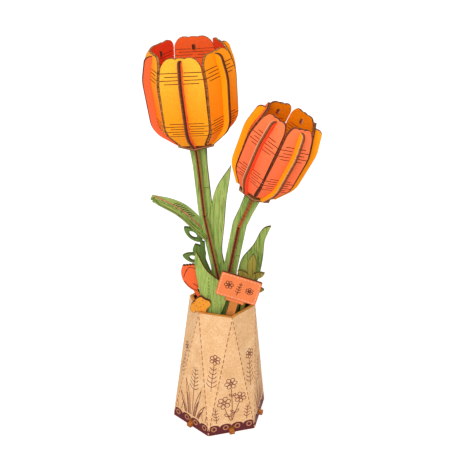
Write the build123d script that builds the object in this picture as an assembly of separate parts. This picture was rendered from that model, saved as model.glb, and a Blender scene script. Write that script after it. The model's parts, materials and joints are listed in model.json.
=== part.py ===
from build123d import *
import os
from dataclasses import dataclass
from math import atan2, cos, degrees, hypot, radians, sin, tan

os.makedirs("parts", exist_ok=True)

# The bouquet stands in a folded vase. X runs to the right, -Y faces the front,
# Z is up, and the origin is the centre of the foot on the floor.

# Sheets the pieces are cut from, and the air round a tongue in its slot
ply_thickness = 2.0
petal_thickness = 1.5
calyx_thickness = 1.5
leaf_thickness = 1.5
card_thickness = 1.5
strip_thickness = 1.0
slot_clearance = 0.05
sliding_clearance = 0.2
cut_overrun = 1.0

# Laser cuts that let a sheet bend
kerf_width = 0.3

# Folded vase, measured over its outside: a hexagonal foot and a hexagonal mouth
# turned half a side from each other, with twelve triangles between them
vase_sides = 6
side_angle = 360 / vase_sides
front_azimuth = -90
vase_turn = -4.8
vase_height = 83.0
foot_radius = 31.0
mouth_radius = 20.8
notch_height = 4.6

# Base plate inside the foot, with a tab through each notch of the vase
plate_gap = 0.5
foot_tab_width = 3.2
foot_tab_proud = 2.0

# Upright boards inside the vase, which stand in the base plate and carry the collar.
# The collar's depth is under the mouth, and a rise is a height over the mouth.
collar_depth = 21.0
collar_gap = 0.4
anchor_foot_width = 38.0
anchor_top_width = 24.0
neck_width = 14.0
anchor_tab_width = 6.0
anchor_tab_centre = 12.0
anchor_tab_short = 0.2
cross_board_foot_width = 36.0
cross_board_top_width = 22.0

# Flower stems: foot, bend and the point under each flower head
stem_width = 8.4
stem_head_width = 10.0
stem_flare_length = 12.0
left_foot_x, left_foot_rise = -1.6, 17.0
left_bend_x, left_bend_rise = -11.2, 60.0
left_head_x, left_head_rise = -16.8, 105.7
right_foot_x, right_foot_rise = 3.4, 17.0
right_bend_x, right_bend_rise = 9.2, 54.5
right_head_x, right_head_rise = 17.9, 77.2
trunk_top_rise = 23.0
trunk_left_x = -7.2
trunk_right_x = 8.4

# Stem ribs, set across the board
rib_depth = 5.6
rib_head_depth = 6.6
rib_joint_gap = 0.35
rib_tab_length = 5.0
front_rib_tab_shares = (0.16, 0.62)
back_rib_tab_shares = (0.36, 0.84)

# Cross tongue on top of each stem, through both calyx plates
tongue_width = 7.0
tongue_proud = 1.0

# Centre leaf of the stem board, from its base to its tip: shares of its length and width
centre_leaf_x, centre_leaf_rise = -3.5, 29.0
centre_leaf_tip_x, centre_leaf_tip_rise = 2.9, 92.0
centre_leaf_width = 8.1
centre_leaf_right_shares = (
    (-0.06, 0.66), (0.05, 0.31), (0.2, 0.17), (0.33, 0.15), (0.65, 0.02), (0.86, 0.04),
)
centre_leaf_left_shares = ((0.87, -0.46), (0.78, -0.75), (0.7, -0.9), (0.58, -1.0))

# Left leaf: a panel bent over an arm of the stem board, held by the arm's teeth.
# Its outline is in shares of its span and of the width of each side of its midrib.
left_leaf_tip_x, left_leaf_tip_rise = -44.2, 66.7
left_leaf_bend_x, left_leaf_bend_rise = -27.0, 59.2
left_leaf_foot_x, left_leaf_foot_rise = -9.9, 43.4
left_leaf_bend_radius = 34.0
left_leaf_bend_flats = 3
left_leaf_back_width = 11.6
left_leaf_back_shares = (
    (0, 0.2), (0.18, 0.52), (0.29, 0.7), (0.43, 0.84), (0.55, 0.94), (0.7, 1), (0.85, 0.93), (1, 0.62),
)
left_leaf_front_width = 4.6
left_leaf_front_shares = (
    (0, 0.34), (0.11, 0.4), (0.16, 0.7), (0.24, 0.86), (0.4, 0.9), (0.6, 0.94), (0.8, 1), (1, 0.94),
)
left_leaf_fork_share = 0.9
arm_depth = 1.5
arm_start_share = 0.12
arm_tooth_proud = 1.2
arm_teeth_shares = ((0.04, 0.3), (0.33, 0.385), (0.405, 0.455), (0.475, 0.865))

# Slanting bending cuts across the back of the left leaf
left_leaf_kerf_count = 9
left_leaf_kerf_start_share = 0.36
left_leaf_kerf_end_share = 0.66
left_leaf_kerf_inner_y = 2.4
left_leaf_kerf_outer_y = 7.6
left_leaf_kerf_slant = 2.2

# Leaves that stand in the collar, each creased along an upright line
crease_reach = 16.0
leaf_tongue_inset = 1.2
leaf_tongue_length = 6.0

# Front leaf, with its outline from the collar up its right side and down its left
front_leaf_crease_x, front_leaf_crease_y = -6.8, -12.0
front_leaf_left_angle = 14
front_leaf_right_angle = 10
front_leaf_rise = 38.6
front_leaf_width = 21.0
front_leaf_right_shares = (
    (0.27, 0), (0.42, 0.36), (0.52, 0.49), (0.5, 0.62), (0.28, 0.705), (0.1, 0.76), (-0.1, 0.825),
    (-0.28, 0.93),
)
front_leaf_left_shares = ((-0.44, 0.91), (-0.4, 0.76), (-0.29, 0.57), (-0.18, 0.36), (-0.12, 0))
front_leaf_tip_share = -0.4

# Right leaf, drawn the same way round
right_leaf_crease_x, right_leaf_crease_y = 19.6, 7.0
right_leaf_left_angle = -9
right_leaf_right_angle = -22
right_leaf_rise = 52.8
right_leaf_width = 16.0
right_leaf_right_shares = (
    (-0.42, 0), (-0.38, 0.29), (0, 0.42), (0.17, 0.56), (0.25, 0.74), (0.28, 0.85), (0.37, 0.92),
)
right_leaf_left_shares = (
    (0.12, 0.93), (-0.03, 0.85), (-0.21, 0.77), (-0.54, 0.67), (-0.68, 0.56), (-0.76, 0.28), (-0.78, 0),
)
right_leaf_tip_share = 0.5

# Stalks of the flat pieces that stand in the collar
stalk_width = 2.6
stalk_foot_width = 5.2
stalk_foot_height = 5.2
stalk_bend_radius = 9.0

# Dark sprig behind the left stem: a stalk, two pierced leaves and a solid one,
# in shares of how far it reaches to the left and of its height over the collar
sprig_x, sprig_y = -4.0, 7.2
sprig_reach = 22.3
sprig_rise = 45.0
sprig_stalk_shares = ((0, 0), (-0.09, 0.333), (-0.242, 0.53), (-0.413, 0.667), (-0.457, 0.864))
sprig_upper_tip_shares = (-0.969, 1)
sprig_lower_tip_shares = (-1, 0.7)
sprig_solid_tip_shares = (-0.66, 0.83)
sprig_leaf_width = 6.4
sprig_solid_width = 7.4
sprig_leaf_rim = 1.3
sprig_eye_inset = 3.9

# Olive sprig in front of the right leaf, in shares of its reach to the right and its height
olive_x, olive_y = 11.0, -4.6
olive_reach = 15.0
olive_rise = 38.0
olive_stalk_shares = ((0, 0), (0.16, 0.373), (0.373, 0.569), (0.413, 0.712))
olive_top_tip_shares = (0.507, 0.993)
olive_left_tip_shares = (-0.107, 0.78)
olive_right_tip_shares = (0.987, 0.776)
olive_low_tip_shares = (1, 0.58)
olive_leaf_width = 5.4
olive_side_width = 3.9

# Flat tulip bud left of the front leaf, on a stalk in shares of the bud's own place
bud_x, bud_y = -11.2, -5.2
bud_reach = 6.7
bud_rise = 17.4
bud_stalk_shares = ((0, 0), (-0.056, 0.46), (-0.31, 0.667), (-0.817, 0.82))
bud_width = 12.4
bud_height = 18.6
bud_tilt = 12
bud_top_width_share = 0.74
bud_scallops = 5
bud_scallop_height = 0.5

# Orange piece that sits astride the vase's edge
rim_piece_x, rim_piece_y, rim_piece_rise = -11.0, -14.2, 4.4
rim_piece_width = 13.0
rim_piece_height = 11.6
rim_piece_shares = (
    (-0.5, -0.28), (-0.44, 0.02), (-0.3, 0.2), (-0.16, 0.42), (0.02, 0.52), (0.2, 0.38), (0.38, 0.32),
    (0.46, 0.14), (0.36, -0.1), (0.28, -0.24), (0.3, -0.44), (0.08, -0.56), (-0.1, -0.4), (-0.32, -0.5),
)
rim_slit_centre_x = -12.2
rim_slit_width = 4.2

# Card on a pick that draws out of the collar
card_lean = 13.6
pick_y = -13.0
pick_mouth_x = 7.06
pick_width = 5.0
pick_tongue_width = 3.0
pick_top_rise = 21.0
card_width = 25.0
card_height = 16.4
card_corner_radius = 1.0
card_centre_rise = 19.6
strip_width = 11.5
strip_height = 7.0
strip_below_card = 3.0


@dataclass
class Tulip:
    """Sizes of one flower head, measured from the top of its upper calyx plate."""

    name: str
    spin: float
    calyx_radius: float
    seat_radius: float
    waist_low_radius: float
    waist_low_z: float
    waist_high_radius: float
    waist_high_z: float
    rim_radius: float
    rim_z: float
    petal_top_half_width: float
    fin_proud: float
    fin_foot_proud: float
    fin_top_z: float
    fin_corner_radius: float
    low_kerf_z: float
    low_kerf_count: int
    high_kerf_z: float
    high_kerf_count: int


big_tulip = Tulip(
    name="big",
    spin=0,
    calyx_radius=11.8,
    seat_radius=13.4,
    waist_low_radius=22.0,
    waist_low_z=13.0,
    waist_high_radius=23.2,
    waist_high_z=41.5,
    rim_radius=19.8,
    rim_z=55.4,
    petal_top_half_width=7.4,
    fin_proud=4.0,
    fin_foot_proud=-1.1,
    fin_top_z=54.2,
    fin_corner_radius=24.2,
    low_kerf_z=19.05,
    low_kerf_count=6,
    high_kerf_z=42.1,
    high_kerf_count=4,
)
small_tulip = Tulip(
    name="small",
    spin=30,
    calyx_radius=11.0,
    seat_radius=11.2,
    waist_low_radius=17.2,
    waist_low_z=12.5,
    waist_high_radius=18.6,
    waist_high_z=36.0,
    rim_radius=14.7,
    rim_z=51.5,
    petal_top_half_width=5.6,
    fin_proud=3.6,
    fin_foot_proud=1.1,
    fin_top_z=50.0,
    fin_corner_radius=19.4,
    low_kerf_z=19.15,
    low_kerf_count=6,
    high_kerf_z=33.0,
    high_kerf_count=5,
)

# What both flower heads share
petal_count = 6
petal_angle = 360 / petal_count
lower_calyx_radius = 6.6
low_bend_radius = 12.0
high_bend_radius = 24.0
low_bend_flats = 3
high_bend_flats = 2
petal_seat_z = 2.7
petal_shoulder_drop = 6.4
petal_ripple = 0.5
petal_ripples = 3
petal_side_gap = 0.14

# Fins: how far they stand proud at the two bends, their foot and their hooks
fin_low_proud_share = 0.9
fin_low_drop_share = 0.4
fin_high_proud_share = 1.05
fin_corner_rounding = 3.2
fin_foot_inner_radius = 4.4
fin_step_height = 2.6
fin_tab_inner_radius = 5.6
fin_tab_outer_radius = 9.4
hook_height = 3.0
hook_reach = 2.25
hook_z_shares = (0.4, 0.885)

# Bending cuts of the petals: one inside the sheet and a pair in from its edges take turns,
# at each bend from the waist outwards
low_kerf_pitch = 1.55
high_kerf_pitch = 1.92
kerf_inset = 2.6
kerf_bridge = 3.2
kerf_reach = 5.0


def upright(face, thickness, y=0):
    """Sheet cut to an outline drawn in X and Z, with its middle at depth y."""
    return extrude(Plane.XZ.offset(-y) * face, amount=thickness / 2, both=True)


def polygon(points):
    return make_face(Polyline(*points, close=True))


def bar(start, end, start_width, end_width):
    """Straight strip between two points, with a width at each end."""
    length = hypot(end[0] - start[0], end[1] - start[1])
    across = ((end[1] - start[1]) / length, (start[0] - end[0]) / length)
    corners = [
        (point[0] + side * width / 2 * across[0], point[1] + side * width / 2 * across[1])
        for point, width, side in (
            (start, start_width, -1),
            (start, start_width, 1),
            (end, end_width, 1),
            (end, end_width, -1),
        )
    ]
    return polygon(corners)


def lens(base, tip, width):
    """Pointed leaf outline between two arcs."""
    return make_face([SagittaArc(base, tip, width / 2), SagittaArc(tip, base, width / 2)])


def towards(start, angle, length):
    """Point at a length from start, at an angle from the X axis."""
    return (start[0] + length * cos(radians(angle)), start[1] + length * sin(radians(angle)))


def share_point(x, z, width, height, shares):
    return (x + shares[0] * width, z + shares[1] * height)


def share_points(x, z, width, height, table_shares):
    return [share_point(x, z, width, height, shares) for shares in table_shares]


# Vase


def vase_corner(radius, z, step):
    angle = radians(front_azimuth + vase_turn + step * side_angle)
    return (radius * cos(angle), radius * sin(angle), z)


def folded_hexagon(foot, mouth):
    """Solid between a foot hexagon and a mouth hexagon turned half a side."""
    low = [vase_corner(foot, 0, step) for step in range(vase_sides)]
    high = [vase_corner(mouth, vase_height, step + 0.5) for step in range(vase_sides)]
    faces = [Face(Wire.make_polygon(low)), Face(Wire.make_polygon(high))]
    for step in range(vase_sides):
        after = (step + 1) % vase_sides
        faces.append(Face(Wire.make_polygon([low[step], low[after], high[step]])))
        faces.append(Face(Wire.make_polygon([high[step], high[after], low[after]])))
    return Solid(Shell(faces))


half_side = radians(side_angle / 2)
foot_inner_radius = foot_radius - ply_thickness / cos(half_side)
mouth_inner_radius = mouth_radius - ply_thickness / cos(half_side)
foot_tab_reach = foot_radius * cos(half_side) + foot_tab_proud
first_side_azimuth = front_azimuth + vase_turn + side_angle / 2
collar_top = vase_height - collar_depth
collar_height = collar_top - ply_thickness


def inner_apothem(z):
    """Least distance from the axis to the vase's inner face at a height."""
    rise = z / vase_height
    under_mouth_edge = foot_inner_radius + rise * (mouth_inner_radius * cos(half_side) - foot_inner_radius)
    foot_apothem = foot_inner_radius * cos(half_side)
    over_foot_edge = foot_apothem + rise * (mouth_inner_radius - foot_apothem)
    return min(under_mouth_edge, over_foot_edge)


def make_vase_sleeve():
    sleeve = folded_hexagon(foot_radius, mouth_radius) - folded_hexagon(foot_inner_radius, mouth_inner_radius)
    reach = foot_tab_reach + cut_overrun
    notch = Pos(reach / 2, 0, 0) * Box(reach, foot_tab_width + 2 * slot_clearance, 2 * notch_height)
    for step in range(vase_sides):
        sleeve -= Rot(0, 0, first_side_azimuth + step * side_angle) * notch
    return sleeve


def make_base_plate():
    corners = [vase_corner(foot_inner_radius - plate_gap, 0, step)[:2] for step in range(vase_sides)]
    plate = extrude(polygon(corners), amount=ply_thickness)
    tab = Pos(foot_tab_reach / 2, 0, ply_thickness / 2) * Box(foot_tab_reach, foot_tab_width, ply_thickness)
    for step in range(vase_sides):
        plate += Rot(0, 0, first_side_azimuth + step * side_angle) * tab
    slot = Pos(anchor_tab_centre, 0, ply_thickness / 2) * Box(
        anchor_tab_width + 2 * slot_clearance,
        ply_thickness + 2 * slot_clearance,
        ply_thickness + 2 * cut_overrun,
    )
    for turn in range(0, 360, 90):
        plate -= Rot(0, 0, turn) * slot
    return plate


# Boards inside the vase


def anchor_outline(foot_width, top_width):
    """Tapered board that stands on the base plate and reaches the collar, with two tabs."""
    outline = bar((0, ply_thickness), (0, collar_height), foot_width, top_width)
    tab_height = ply_thickness - anchor_tab_short
    for side in (-1, 1):
        tab = Rectangle(anchor_tab_width, tab_height)
        outline += Pos(side * anchor_tab_centre, ply_thickness - tab_height / 2) * tab
    return outline


lap_height = (ply_thickness + collar_height) / 2


def lap_slot(bottom, top):
    """Half of the cross lap between the stem board and the cross board."""
    width = ply_thickness + 2 * slot_clearance
    return Pos(0, (bottom + top) / 2) * Rectangle(width, top - bottom)


def make_cross_board():
    outline = anchor_outline(cross_board_foot_width, cross_board_top_width)
    outline -= lap_slot(lap_height - slot_clearance, collar_height + cut_overrun)
    return Rot(0, 0, 90) * upright(outline, ply_thickness)


# Stems


@dataclass
class Stem:
    """Centre line of one flower stem in the plane of the stem board."""

    name: str
    foot: tuple
    bend: tuple
    head: tuple

    def tilt(self):
        """Lean of the upper length, from upright toward the right."""
        return degrees(atan2(self.head[0] - self.bend[0], self.head[1] - self.bend[1]))

    def lower_tilt(self):
        return degrees(atan2(self.bend[0] - self.foot[0], self.bend[1] - self.foot[1]))

    def upper_length(self):
        return hypot(self.head[0] - self.bend[0], self.head[1] - self.bend[1])

    def lower_length(self):
        return hypot(self.bend[0] - self.foot[0], self.bend[1] - self.foot[1])

    def head_place(self):
        return Pos(self.head[0], 0, self.head[1]) * Rot(0, self.tilt(), 0)

    def foot_place(self):
        return Pos(self.foot[0], 0, self.foot[1]) * Rot(0, self.lower_tilt(), 0)

    def along_upper(self, z):
        """Point of the board's plane at a height on the flower head's own axis."""
        return towards(self.head, 90 - self.tilt(), z)

    def along_lower(self, z):
        """Point of the board's plane at a length up from the stem's foot."""
        return towards(self.foot, 90 - self.lower_tilt(), z)


left_stem = Stem(
    "left",
    (left_foot_x, vase_height + left_foot_rise),
    (left_bend_x, vase_height + left_bend_rise),
    (left_head_x, vase_height + left_head_rise),
)
right_stem = Stem(
    "right",
    (right_foot_x, vase_height + right_foot_rise),
    (right_bend_x, vase_height + right_bend_rise),
    (right_head_x, vase_height + right_head_rise),
)

# Heights on a flower head's axis: both calyx plates lie under zero
shoulder_z = -2 * calyx_thickness
flare_z = shoulder_z - stem_flare_length


def upper_lap_z(stem):
    """Height at which the board's slot ends and the rib's slot begins."""
    return (shoulder_z - stem.upper_length()) / 2


def stem_outline(stem):
    outline = bar(stem.foot, stem.bend, stem_width, stem_width)
    outline += Pos(*stem.bend) * Circle(stem_width / 2)
    outline += bar(stem.bend, stem.along_upper(flare_z), stem_width, stem_width)
    outline += bar(stem.along_upper(flare_z), stem.along_upper(shoulder_z), stem_width, stem_head_width)
    outline += bar(stem.along_upper(shoulder_z), stem.along_upper(tongue_proud), tongue_width, tongue_width)
    return outline


def rib_slot_outline(stem):
    """Slot down the middle of the stem for the upper rib, and mortises for the lower ribs."""
    width = ply_thickness + 2 * slot_clearance
    bottom = stem.along_upper(upper_lap_z(stem) - slot_clearance)
    slots = bar(bottom, stem.along_upper(tongue_proud + cut_overrun), width, width)
    half = rib_tab_length / 2 + slot_clearance
    for share in front_rib_tab_shares + back_rib_tab_shares:
        middle = share * stem.lower_length()
        slots += bar(stem.along_lower(middle - half), stem.along_lower(middle + half), width, width)
    return slots


def make_upper_rib(stem):
    """Rib across the upper length of a stem, lapped with the board and flared at its top."""
    low = rib_joint_gap - stem.upper_length()
    outline = bar((0, low), (0, flare_z), 2 * rib_depth, 2 * rib_depth)
    outline += bar((0, flare_z), (0, shoulder_z), 2 * rib_depth, 2 * rib_head_depth)
    outline += bar((0, shoulder_z), (0, tongue_proud), tongue_width, tongue_width)
    width = ply_thickness + 2 * slot_clearance
    outline -= bar((0, low - cut_overrun), (0, upper_lap_z(stem)), width, width)
    return stem.head_place() * Rot(0, 0, 90) * upright(outline, ply_thickness)


def make_lower_rib(stem, side, tab_shares):
    """Half rib on one face of the board, with two tabs through it."""
    length = stem.lower_length() - rib_joint_gap
    face = ply_thickness / 2
    outer = side * rib_depth
    outline = polygon([(side * face, 0), (outer, 0), (outer, length), (side * face, length)])
    for share in tab_shares:
        outline += Pos(0, share * stem.lower_length()) * Rectangle(ply_thickness, rib_tab_length)
    return stem.foot_place() * Rot(0, 0, 90) * upright(outline, ply_thickness)


def centre_leaf_outline():
    width, height = centre_leaf_tip_x - centre_leaf_x, centre_leaf_tip_rise - centre_leaf_rise
    length = hypot(width, height)
    along = (width / length, height / length)

    def place(up, across):
        return (
            centre_leaf_x + up * length * along[0] + across * centre_leaf_width * along[1],
            vase_height + centre_leaf_rise + up * length * along[1] - across * centre_leaf_width * along[0],
        )

    tip = place(1, 0)
    right = [place(*shares) for shares in centre_leaf_right_shares]
    left = [place(*shares) for shares in centre_leaf_left_shares]
    base = Polyline(left[-1], left_stem.bend, left_stem.foot, right[0])
    return make_face([Spline(*right, tip), Spline(tip, *left), base])


# Left leaf and the arm that carries it

left_leaf_top = vase_height + left_leaf_tip_rise


def left_leaf_path():
    """Middle surface of the left leaf, seen from the front, from its tip to its foot.

    Its bend is a run of flats, as a sheet takes it between its bending cuts."""
    smooth = FilletPolyline(
        (left_leaf_tip_x, left_leaf_top),
        (left_leaf_bend_x, vase_height + left_leaf_bend_rise),
        (left_leaf_foot_x, vase_height + left_leaf_foot_rise),
        radius=left_leaf_bend_radius,
    )
    bend = smooth.edges().filter_by(GeomType.CIRCLE)[0]
    stops = [bend @ (step / left_leaf_bend_flats) for step in range(left_leaf_bend_flats + 1)]
    stops.sort(key=lambda stop: stop.X)
    return Polyline(smooth @ 0, *stops, smooth @ 1)


def arm_outline():
    """Arm under the left leaf, with the teeth that reach through it."""
    path = left_leaf_path()
    tip, foot = path @ 0, path @ 1
    high = left_leaf_top + left_leaf_back_width
    over_leaf = make_face([path, Polyline(foot, (foot.X, high), (tip.X, high), tip)])
    leaf_room = leaf_thickness + 2 * slot_clearance
    outline = trace(path.trim(arm_start_share, 1), leaf_room + 2 * arm_depth) - over_leaf
    outline -= trace(path, leaf_room)
    for start, end in arm_teeth_shares:
        outline += trace(path.trim(start, end), leaf_thickness + 2 * arm_tooth_proud)
    return outline


def make_left_leaf():
    path = left_leaf_path()
    span = left_leaf_foot_x - left_leaf_tip_x
    back = share_points(left_leaf_tip_x, 0, span, left_leaf_back_width, left_leaf_back_shares)
    front = share_points(left_leaf_tip_x, 0, span, -left_leaf_front_width, left_leaf_front_shares)
    plan = make_face([Spline(*back), Line(back[-1], front[-1]), Spline(*front), Line(front[0], back[0])])
    width = left_leaf_front_width + left_leaf_back_width
    strip = extrude(Plane.XZ * trace(path, leaf_thickness), amount=width, both=True)
    leaf = strip & extrude(plan, amount=left_leaf_top + width)
    slot_height = leaf_thickness + 2 * arm_tooth_proud + 2 * cut_overrun
    margin = slot_clearance / path.length
    for start, end in arm_teeth_shares:
        slot = trace(path.trim(start - margin, end + margin), slot_height)
        leaf -= upright(slot, ply_thickness + 2 * slot_clearance)
    # The foot is forked, and clasps the board where it meets the stem
    fork_x = (path @ left_leaf_fork_share).X
    fork_length = left_leaf_foot_x - fork_x + leaf_thickness + cut_overrun
    fork = Box(fork_length, ply_thickness + 2 * slot_clearance, 2 * width)
    leaf -= Pos(fork_x + fork_length / 2, 0, vase_height + left_leaf_foot_rise) * fork
    kerf_room_share = left_leaf_kerf_end_share - left_leaf_kerf_start_share
    for step in range(left_leaf_kerf_count):
        x = (path @ (left_leaf_kerf_start_share + kerf_room_share * step / (left_leaf_kerf_count - 1))).X
        start = (x - left_leaf_kerf_slant / 2, left_leaf_kerf_inner_y)
        end = (x + left_leaf_kerf_slant / 2, left_leaf_kerf_outer_y)
        leaf -= extrude(bar(start, end, kerf_width, kerf_width), amount=left_leaf_top + width)
    return leaf


def make_stem_board():
    outline = anchor_outline(anchor_foot_width, anchor_top_width)
    half_neck = neck_width / 2
    trunk_top = vase_height + trunk_top_rise
    outline += polygon(
        [
            (-half_neck, collar_height - cut_overrun),
            (half_neck, collar_height - cut_overrun),
            (half_neck, collar_top),
            (trunk_right_x, trunk_top),
            (trunk_left_x, trunk_top),
            (-half_neck, collar_top),
        ]
    )
    outline += stem_outline(left_stem)
    outline += stem_outline(right_stem)
    outline += centre_leaf_outline()
    outline += arm_outline()
    outline -= lap_slot(0, lap_height)
    outline -= rib_slot_outline(left_stem)
    outline -= rib_slot_outline(right_stem)
    return upright(outline, ply_thickness)


# Creased leaves that stand in the collar


@dataclass
class CreasedLeaf:
    """Sheet folded along an upright crease; a positive angle sends that side back."""

    crease: tuple
    left_angle: float
    right_angle: float
    width: float
    height: float
    right_shares: tuple
    left_shares: tuple
    tip_share: float

    def right_side(self):
        return share_points(self.crease[0], collar_top, self.width, self.height, self.right_shares)

    def left_side(self):
        return share_points(self.crease[0], collar_top, self.width, self.height, self.left_shares)

    def sheet(self, thickness, bottom, top):
        left = towards(self.crease, 180 - self.left_angle, crease_reach)
        right = towards(self.crease, self.right_angle, crease_reach)
        section = trace(Polyline(left, self.crease, right), thickness)
        return Pos(0, 0, bottom) * extrude(section, amount=top - bottom)

    def tongue(self, clearance):
        """Tongue through the collar, or its slot."""
        bottom = collar_top - leaf_tongue_length - clearance
        left_x = self.left_side()[-1][0] + leaf_tongue_inset - clearance
        right_x = self.right_side()[0][0] - leaf_tongue_inset + clearance
        room = Box(right_x - left_x, 2 * foot_radius, 2 * collar_height)
        sheet = self.sheet(leaf_thickness + 2 * clearance, bottom, collar_top + cut_overrun)
        return sheet & Pos((left_x + right_x) / 2, 0, collar_height) * room

    def leaf(self):
        right, left = self.right_side(), self.left_side()
        tip = (self.crease[0] + self.tip_share * self.width, collar_top + self.height)
        outline = make_face([Spline(*right, tip), Spline(tip, *left), Line(left[-1], right[0])])
        sheet = self.sheet(leaf_thickness, collar_top, tip[1] + cut_overrun)
        return (sheet & extrude(Plane.XZ * outline, amount=foot_radius, both=True)) + self.tongue(0)


front_leaf = CreasedLeaf(
    (front_leaf_crease_x, front_leaf_crease_y),
    front_leaf_left_angle,
    front_leaf_right_angle,
    front_leaf_width,
    collar_depth + front_leaf_rise,
    front_leaf_right_shares,
    front_leaf_left_shares,
    front_leaf_tip_share,
)
right_leaf = CreasedLeaf(
    (right_leaf_crease_x, right_leaf_crease_y),
    right_leaf_left_angle,
    right_leaf_right_angle,
    right_leaf_width,
    collar_depth + right_leaf_rise,
    right_leaf_right_shares,
    right_leaf_left_shares,
    right_leaf_tip_share,
)


# Flat pieces that stand in the collar on a stalk


def stalk_outline(points):
    """Stalk through its points, with a step that rests on the collar and a tongue through it."""
    x = points[0][0]
    foot = [
        (x - stalk_foot_width / 2, collar_top),
        (x + stalk_foot_width / 2, collar_top),
        (x + stalk_width / 2, collar_top + stalk_foot_height),
        (x - stalk_width / 2, collar_top + stalk_foot_height),
    ]
    stalk = FilletPolyline(*points, radius=stalk_bend_radius)
    return trace(stalk, stalk_width) + polygon(foot) + stalk_tongue(x, 0)


def stalk_tongue(x, clearance):
    width = stalk_width - 2 * slot_clearance + 2 * clearance
    return Pos(x, collar_top - leaf_tongue_length / 2) * Rectangle(width, leaf_tongue_length + 2 * clearance)


def stalk_slot(x, y):
    return upright(stalk_tongue(x, slot_clearance), ply_thickness + 2 * slot_clearance, y)


def pierced_leaf(base, tip):
    """Leaf with an eye, leaving a rim all round."""
    angle = degrees(atan2(tip[1] - base[1], tip[0] - base[0]))
    eye_base = towards(base, angle, sprig_eye_inset)
    eye_tip = towards(tip, angle, -sprig_eye_inset)
    return lens(base, tip, sprig_leaf_width) - lens(eye_base, eye_tip, sprig_leaf_width - 2 * sprig_leaf_rim)


def make_dark_sprig():
    def at(shares):
        return share_point(sprig_x, collar_top, sprig_reach, collar_depth + sprig_rise, shares)

    stalk = [at(shares) for shares in sprig_stalk_shares]
    outline = stalk_outline(stalk)
    outline += pierced_leaf(stalk[-1], at(sprig_upper_tip_shares))
    outline += pierced_leaf(stalk[-2], at(sprig_lower_tip_shares))
    outline += lens(stalk[-2], at(sprig_solid_tip_shares), sprig_solid_width)
    return upright(outline, ply_thickness, sprig_y)


def make_olive_sprig():
    def at(shares):
        return share_point(olive_x, collar_top, olive_reach, collar_depth + olive_rise, shares)

    stalk = [at(shares) for shares in olive_stalk_shares]
    outline = stalk_outline(stalk)
    outline += lens(stalk[-1], at(olive_top_tip_shares), olive_leaf_width)
    outline += lens(stalk[-1], at(olive_left_tip_shares), olive_side_width)
    outline += lens(stalk[-1], at(olive_right_tip_shares), olive_side_width)
    outline += lens(stalk[-2], at(olive_low_tip_shares), olive_side_width)
    return upright(outline, ply_thickness, olive_y)


def make_bud():
    half_top = bud_top_width_share * bud_width / 2
    top_z = bud_height / 2 - bud_scallop_height
    bottom = (0, -bud_height / 2)
    step = 2 * half_top / bud_scallops
    outline = [
        ThreePointArc((-half_top, top_z), (-bud_width / 2, 0), bottom),
        ThreePointArc(bottom, (bud_width / 2, 0), (half_top, top_z)),
    ]
    for scallop in range(bud_scallops):
        start = half_top - scallop * step
        outline.append(SagittaArc((start, top_z), (start - step, top_z), -bud_scallop_height))
    head = Pos(bud_x - bud_reach, vase_height + bud_rise) * Rot(0, 0, bud_tilt) * make_face(outline)
    stalk = share_points(bud_x, collar_top, bud_reach, collar_depth + bud_rise, bud_stalk_shares)
    return upright(head + stalk_outline(stalk), ply_thickness, bud_y)


def make_rim_piece():
    centre_z = vase_height + rim_piece_rise
    points = share_points(rim_piece_x, centre_z, rim_piece_width, rim_piece_height, rim_piece_shares)
    points.append(points[0])
    lobes = [ThreePointArc(*points[step : step + 3]) for step in range(0, len(rim_piece_shares), 2)]
    outline = make_face(lobes)
    slit = Rectangle(rim_slit_width, rim_piece_height)
    outline -= Pos(rim_slit_centre_x, vase_height - rim_piece_height / 2) * slit
    return upright(outline, ply_thickness, rim_piece_y)


# Card and pick, drawn along the pick's own leaning axis


def pick_point(z):
    """Point of the pick's centre line at a height."""
    return (pick_mouth_x + (z - vase_height) * tan(radians(card_lean)), z)


def leaning_bar(bottom, top, width):
    """Leaning strip with level ends."""
    half = width / 2 / cos(radians(card_lean))
    low_x, high_x = pick_point(bottom)[0], pick_point(top)[0]
    low = [(low_x - half, bottom), (low_x + half, bottom)]
    return polygon([*low, (high_x + half, top), (high_x - half, top)])


pick_foot_z = collar_top - leaf_tongue_length
strip_y = pick_y - ply_thickness / 2 - strip_thickness / 2
card_y = strip_y - strip_thickness / 2 - card_thickness / 2


def make_card_pick():
    seat = collar_top + sliding_clearance
    outline = leaning_bar(seat, vase_height + pick_top_rise, pick_width)
    outline += leaning_bar(pick_foot_z, seat, pick_tongue_width)
    return upright(outline, ply_thickness, pick_y)


def pick_slot():
    tongue = leaning_bar(pick_foot_z, collar_top + cut_overrun, pick_tongue_width + 2 * sliding_clearance)
    return upright(tongue, ply_thickness + 2 * sliding_clearance, pick_y)


def card_place():
    return Pos(*pick_point(vase_height + card_centre_rise)) * Rot(0, 0, -card_lean)


def make_card():
    outline = card_place() * RectangleRounded(card_width, card_height, card_corner_radius)
    return upright(outline, card_thickness, card_y)


def make_card_strip():
    drop = -card_height / 2 - strip_below_card + strip_height / 2
    outline = card_place() * Pos(0, drop) * Rectangle(strip_width, strip_height)
    return upright(outline, strip_thickness, strip_y)


# Collar plate


def make_collar_plate():
    radius = inner_apothem(collar_top) - collar_gap
    collar = Pos(0, 0, collar_height) * extrude(Circle(radius), amount=ply_thickness)
    neck = Box(
        neck_width + 2 * slot_clearance,
        ply_thickness + 2 * slot_clearance,
        2 * ply_thickness + 2 * cut_overrun,
    )
    slots = [
        Pos(0, 0, collar_height) * neck,
        front_leaf.tongue(slot_clearance),
        right_leaf.tongue(slot_clearance),
        stalk_slot(sprig_x, sprig_y),
        stalk_slot(olive_x, olive_y),
        stalk_slot(bud_x, bud_y),
        pick_slot(),
    ]
    for slot in slots:
        collar -= slot
    return collar


# Flower heads, each in its own frame: Z along its axis from the top of the
# upper calyx plate, and the petal or fin drawn on the side of +X


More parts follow.
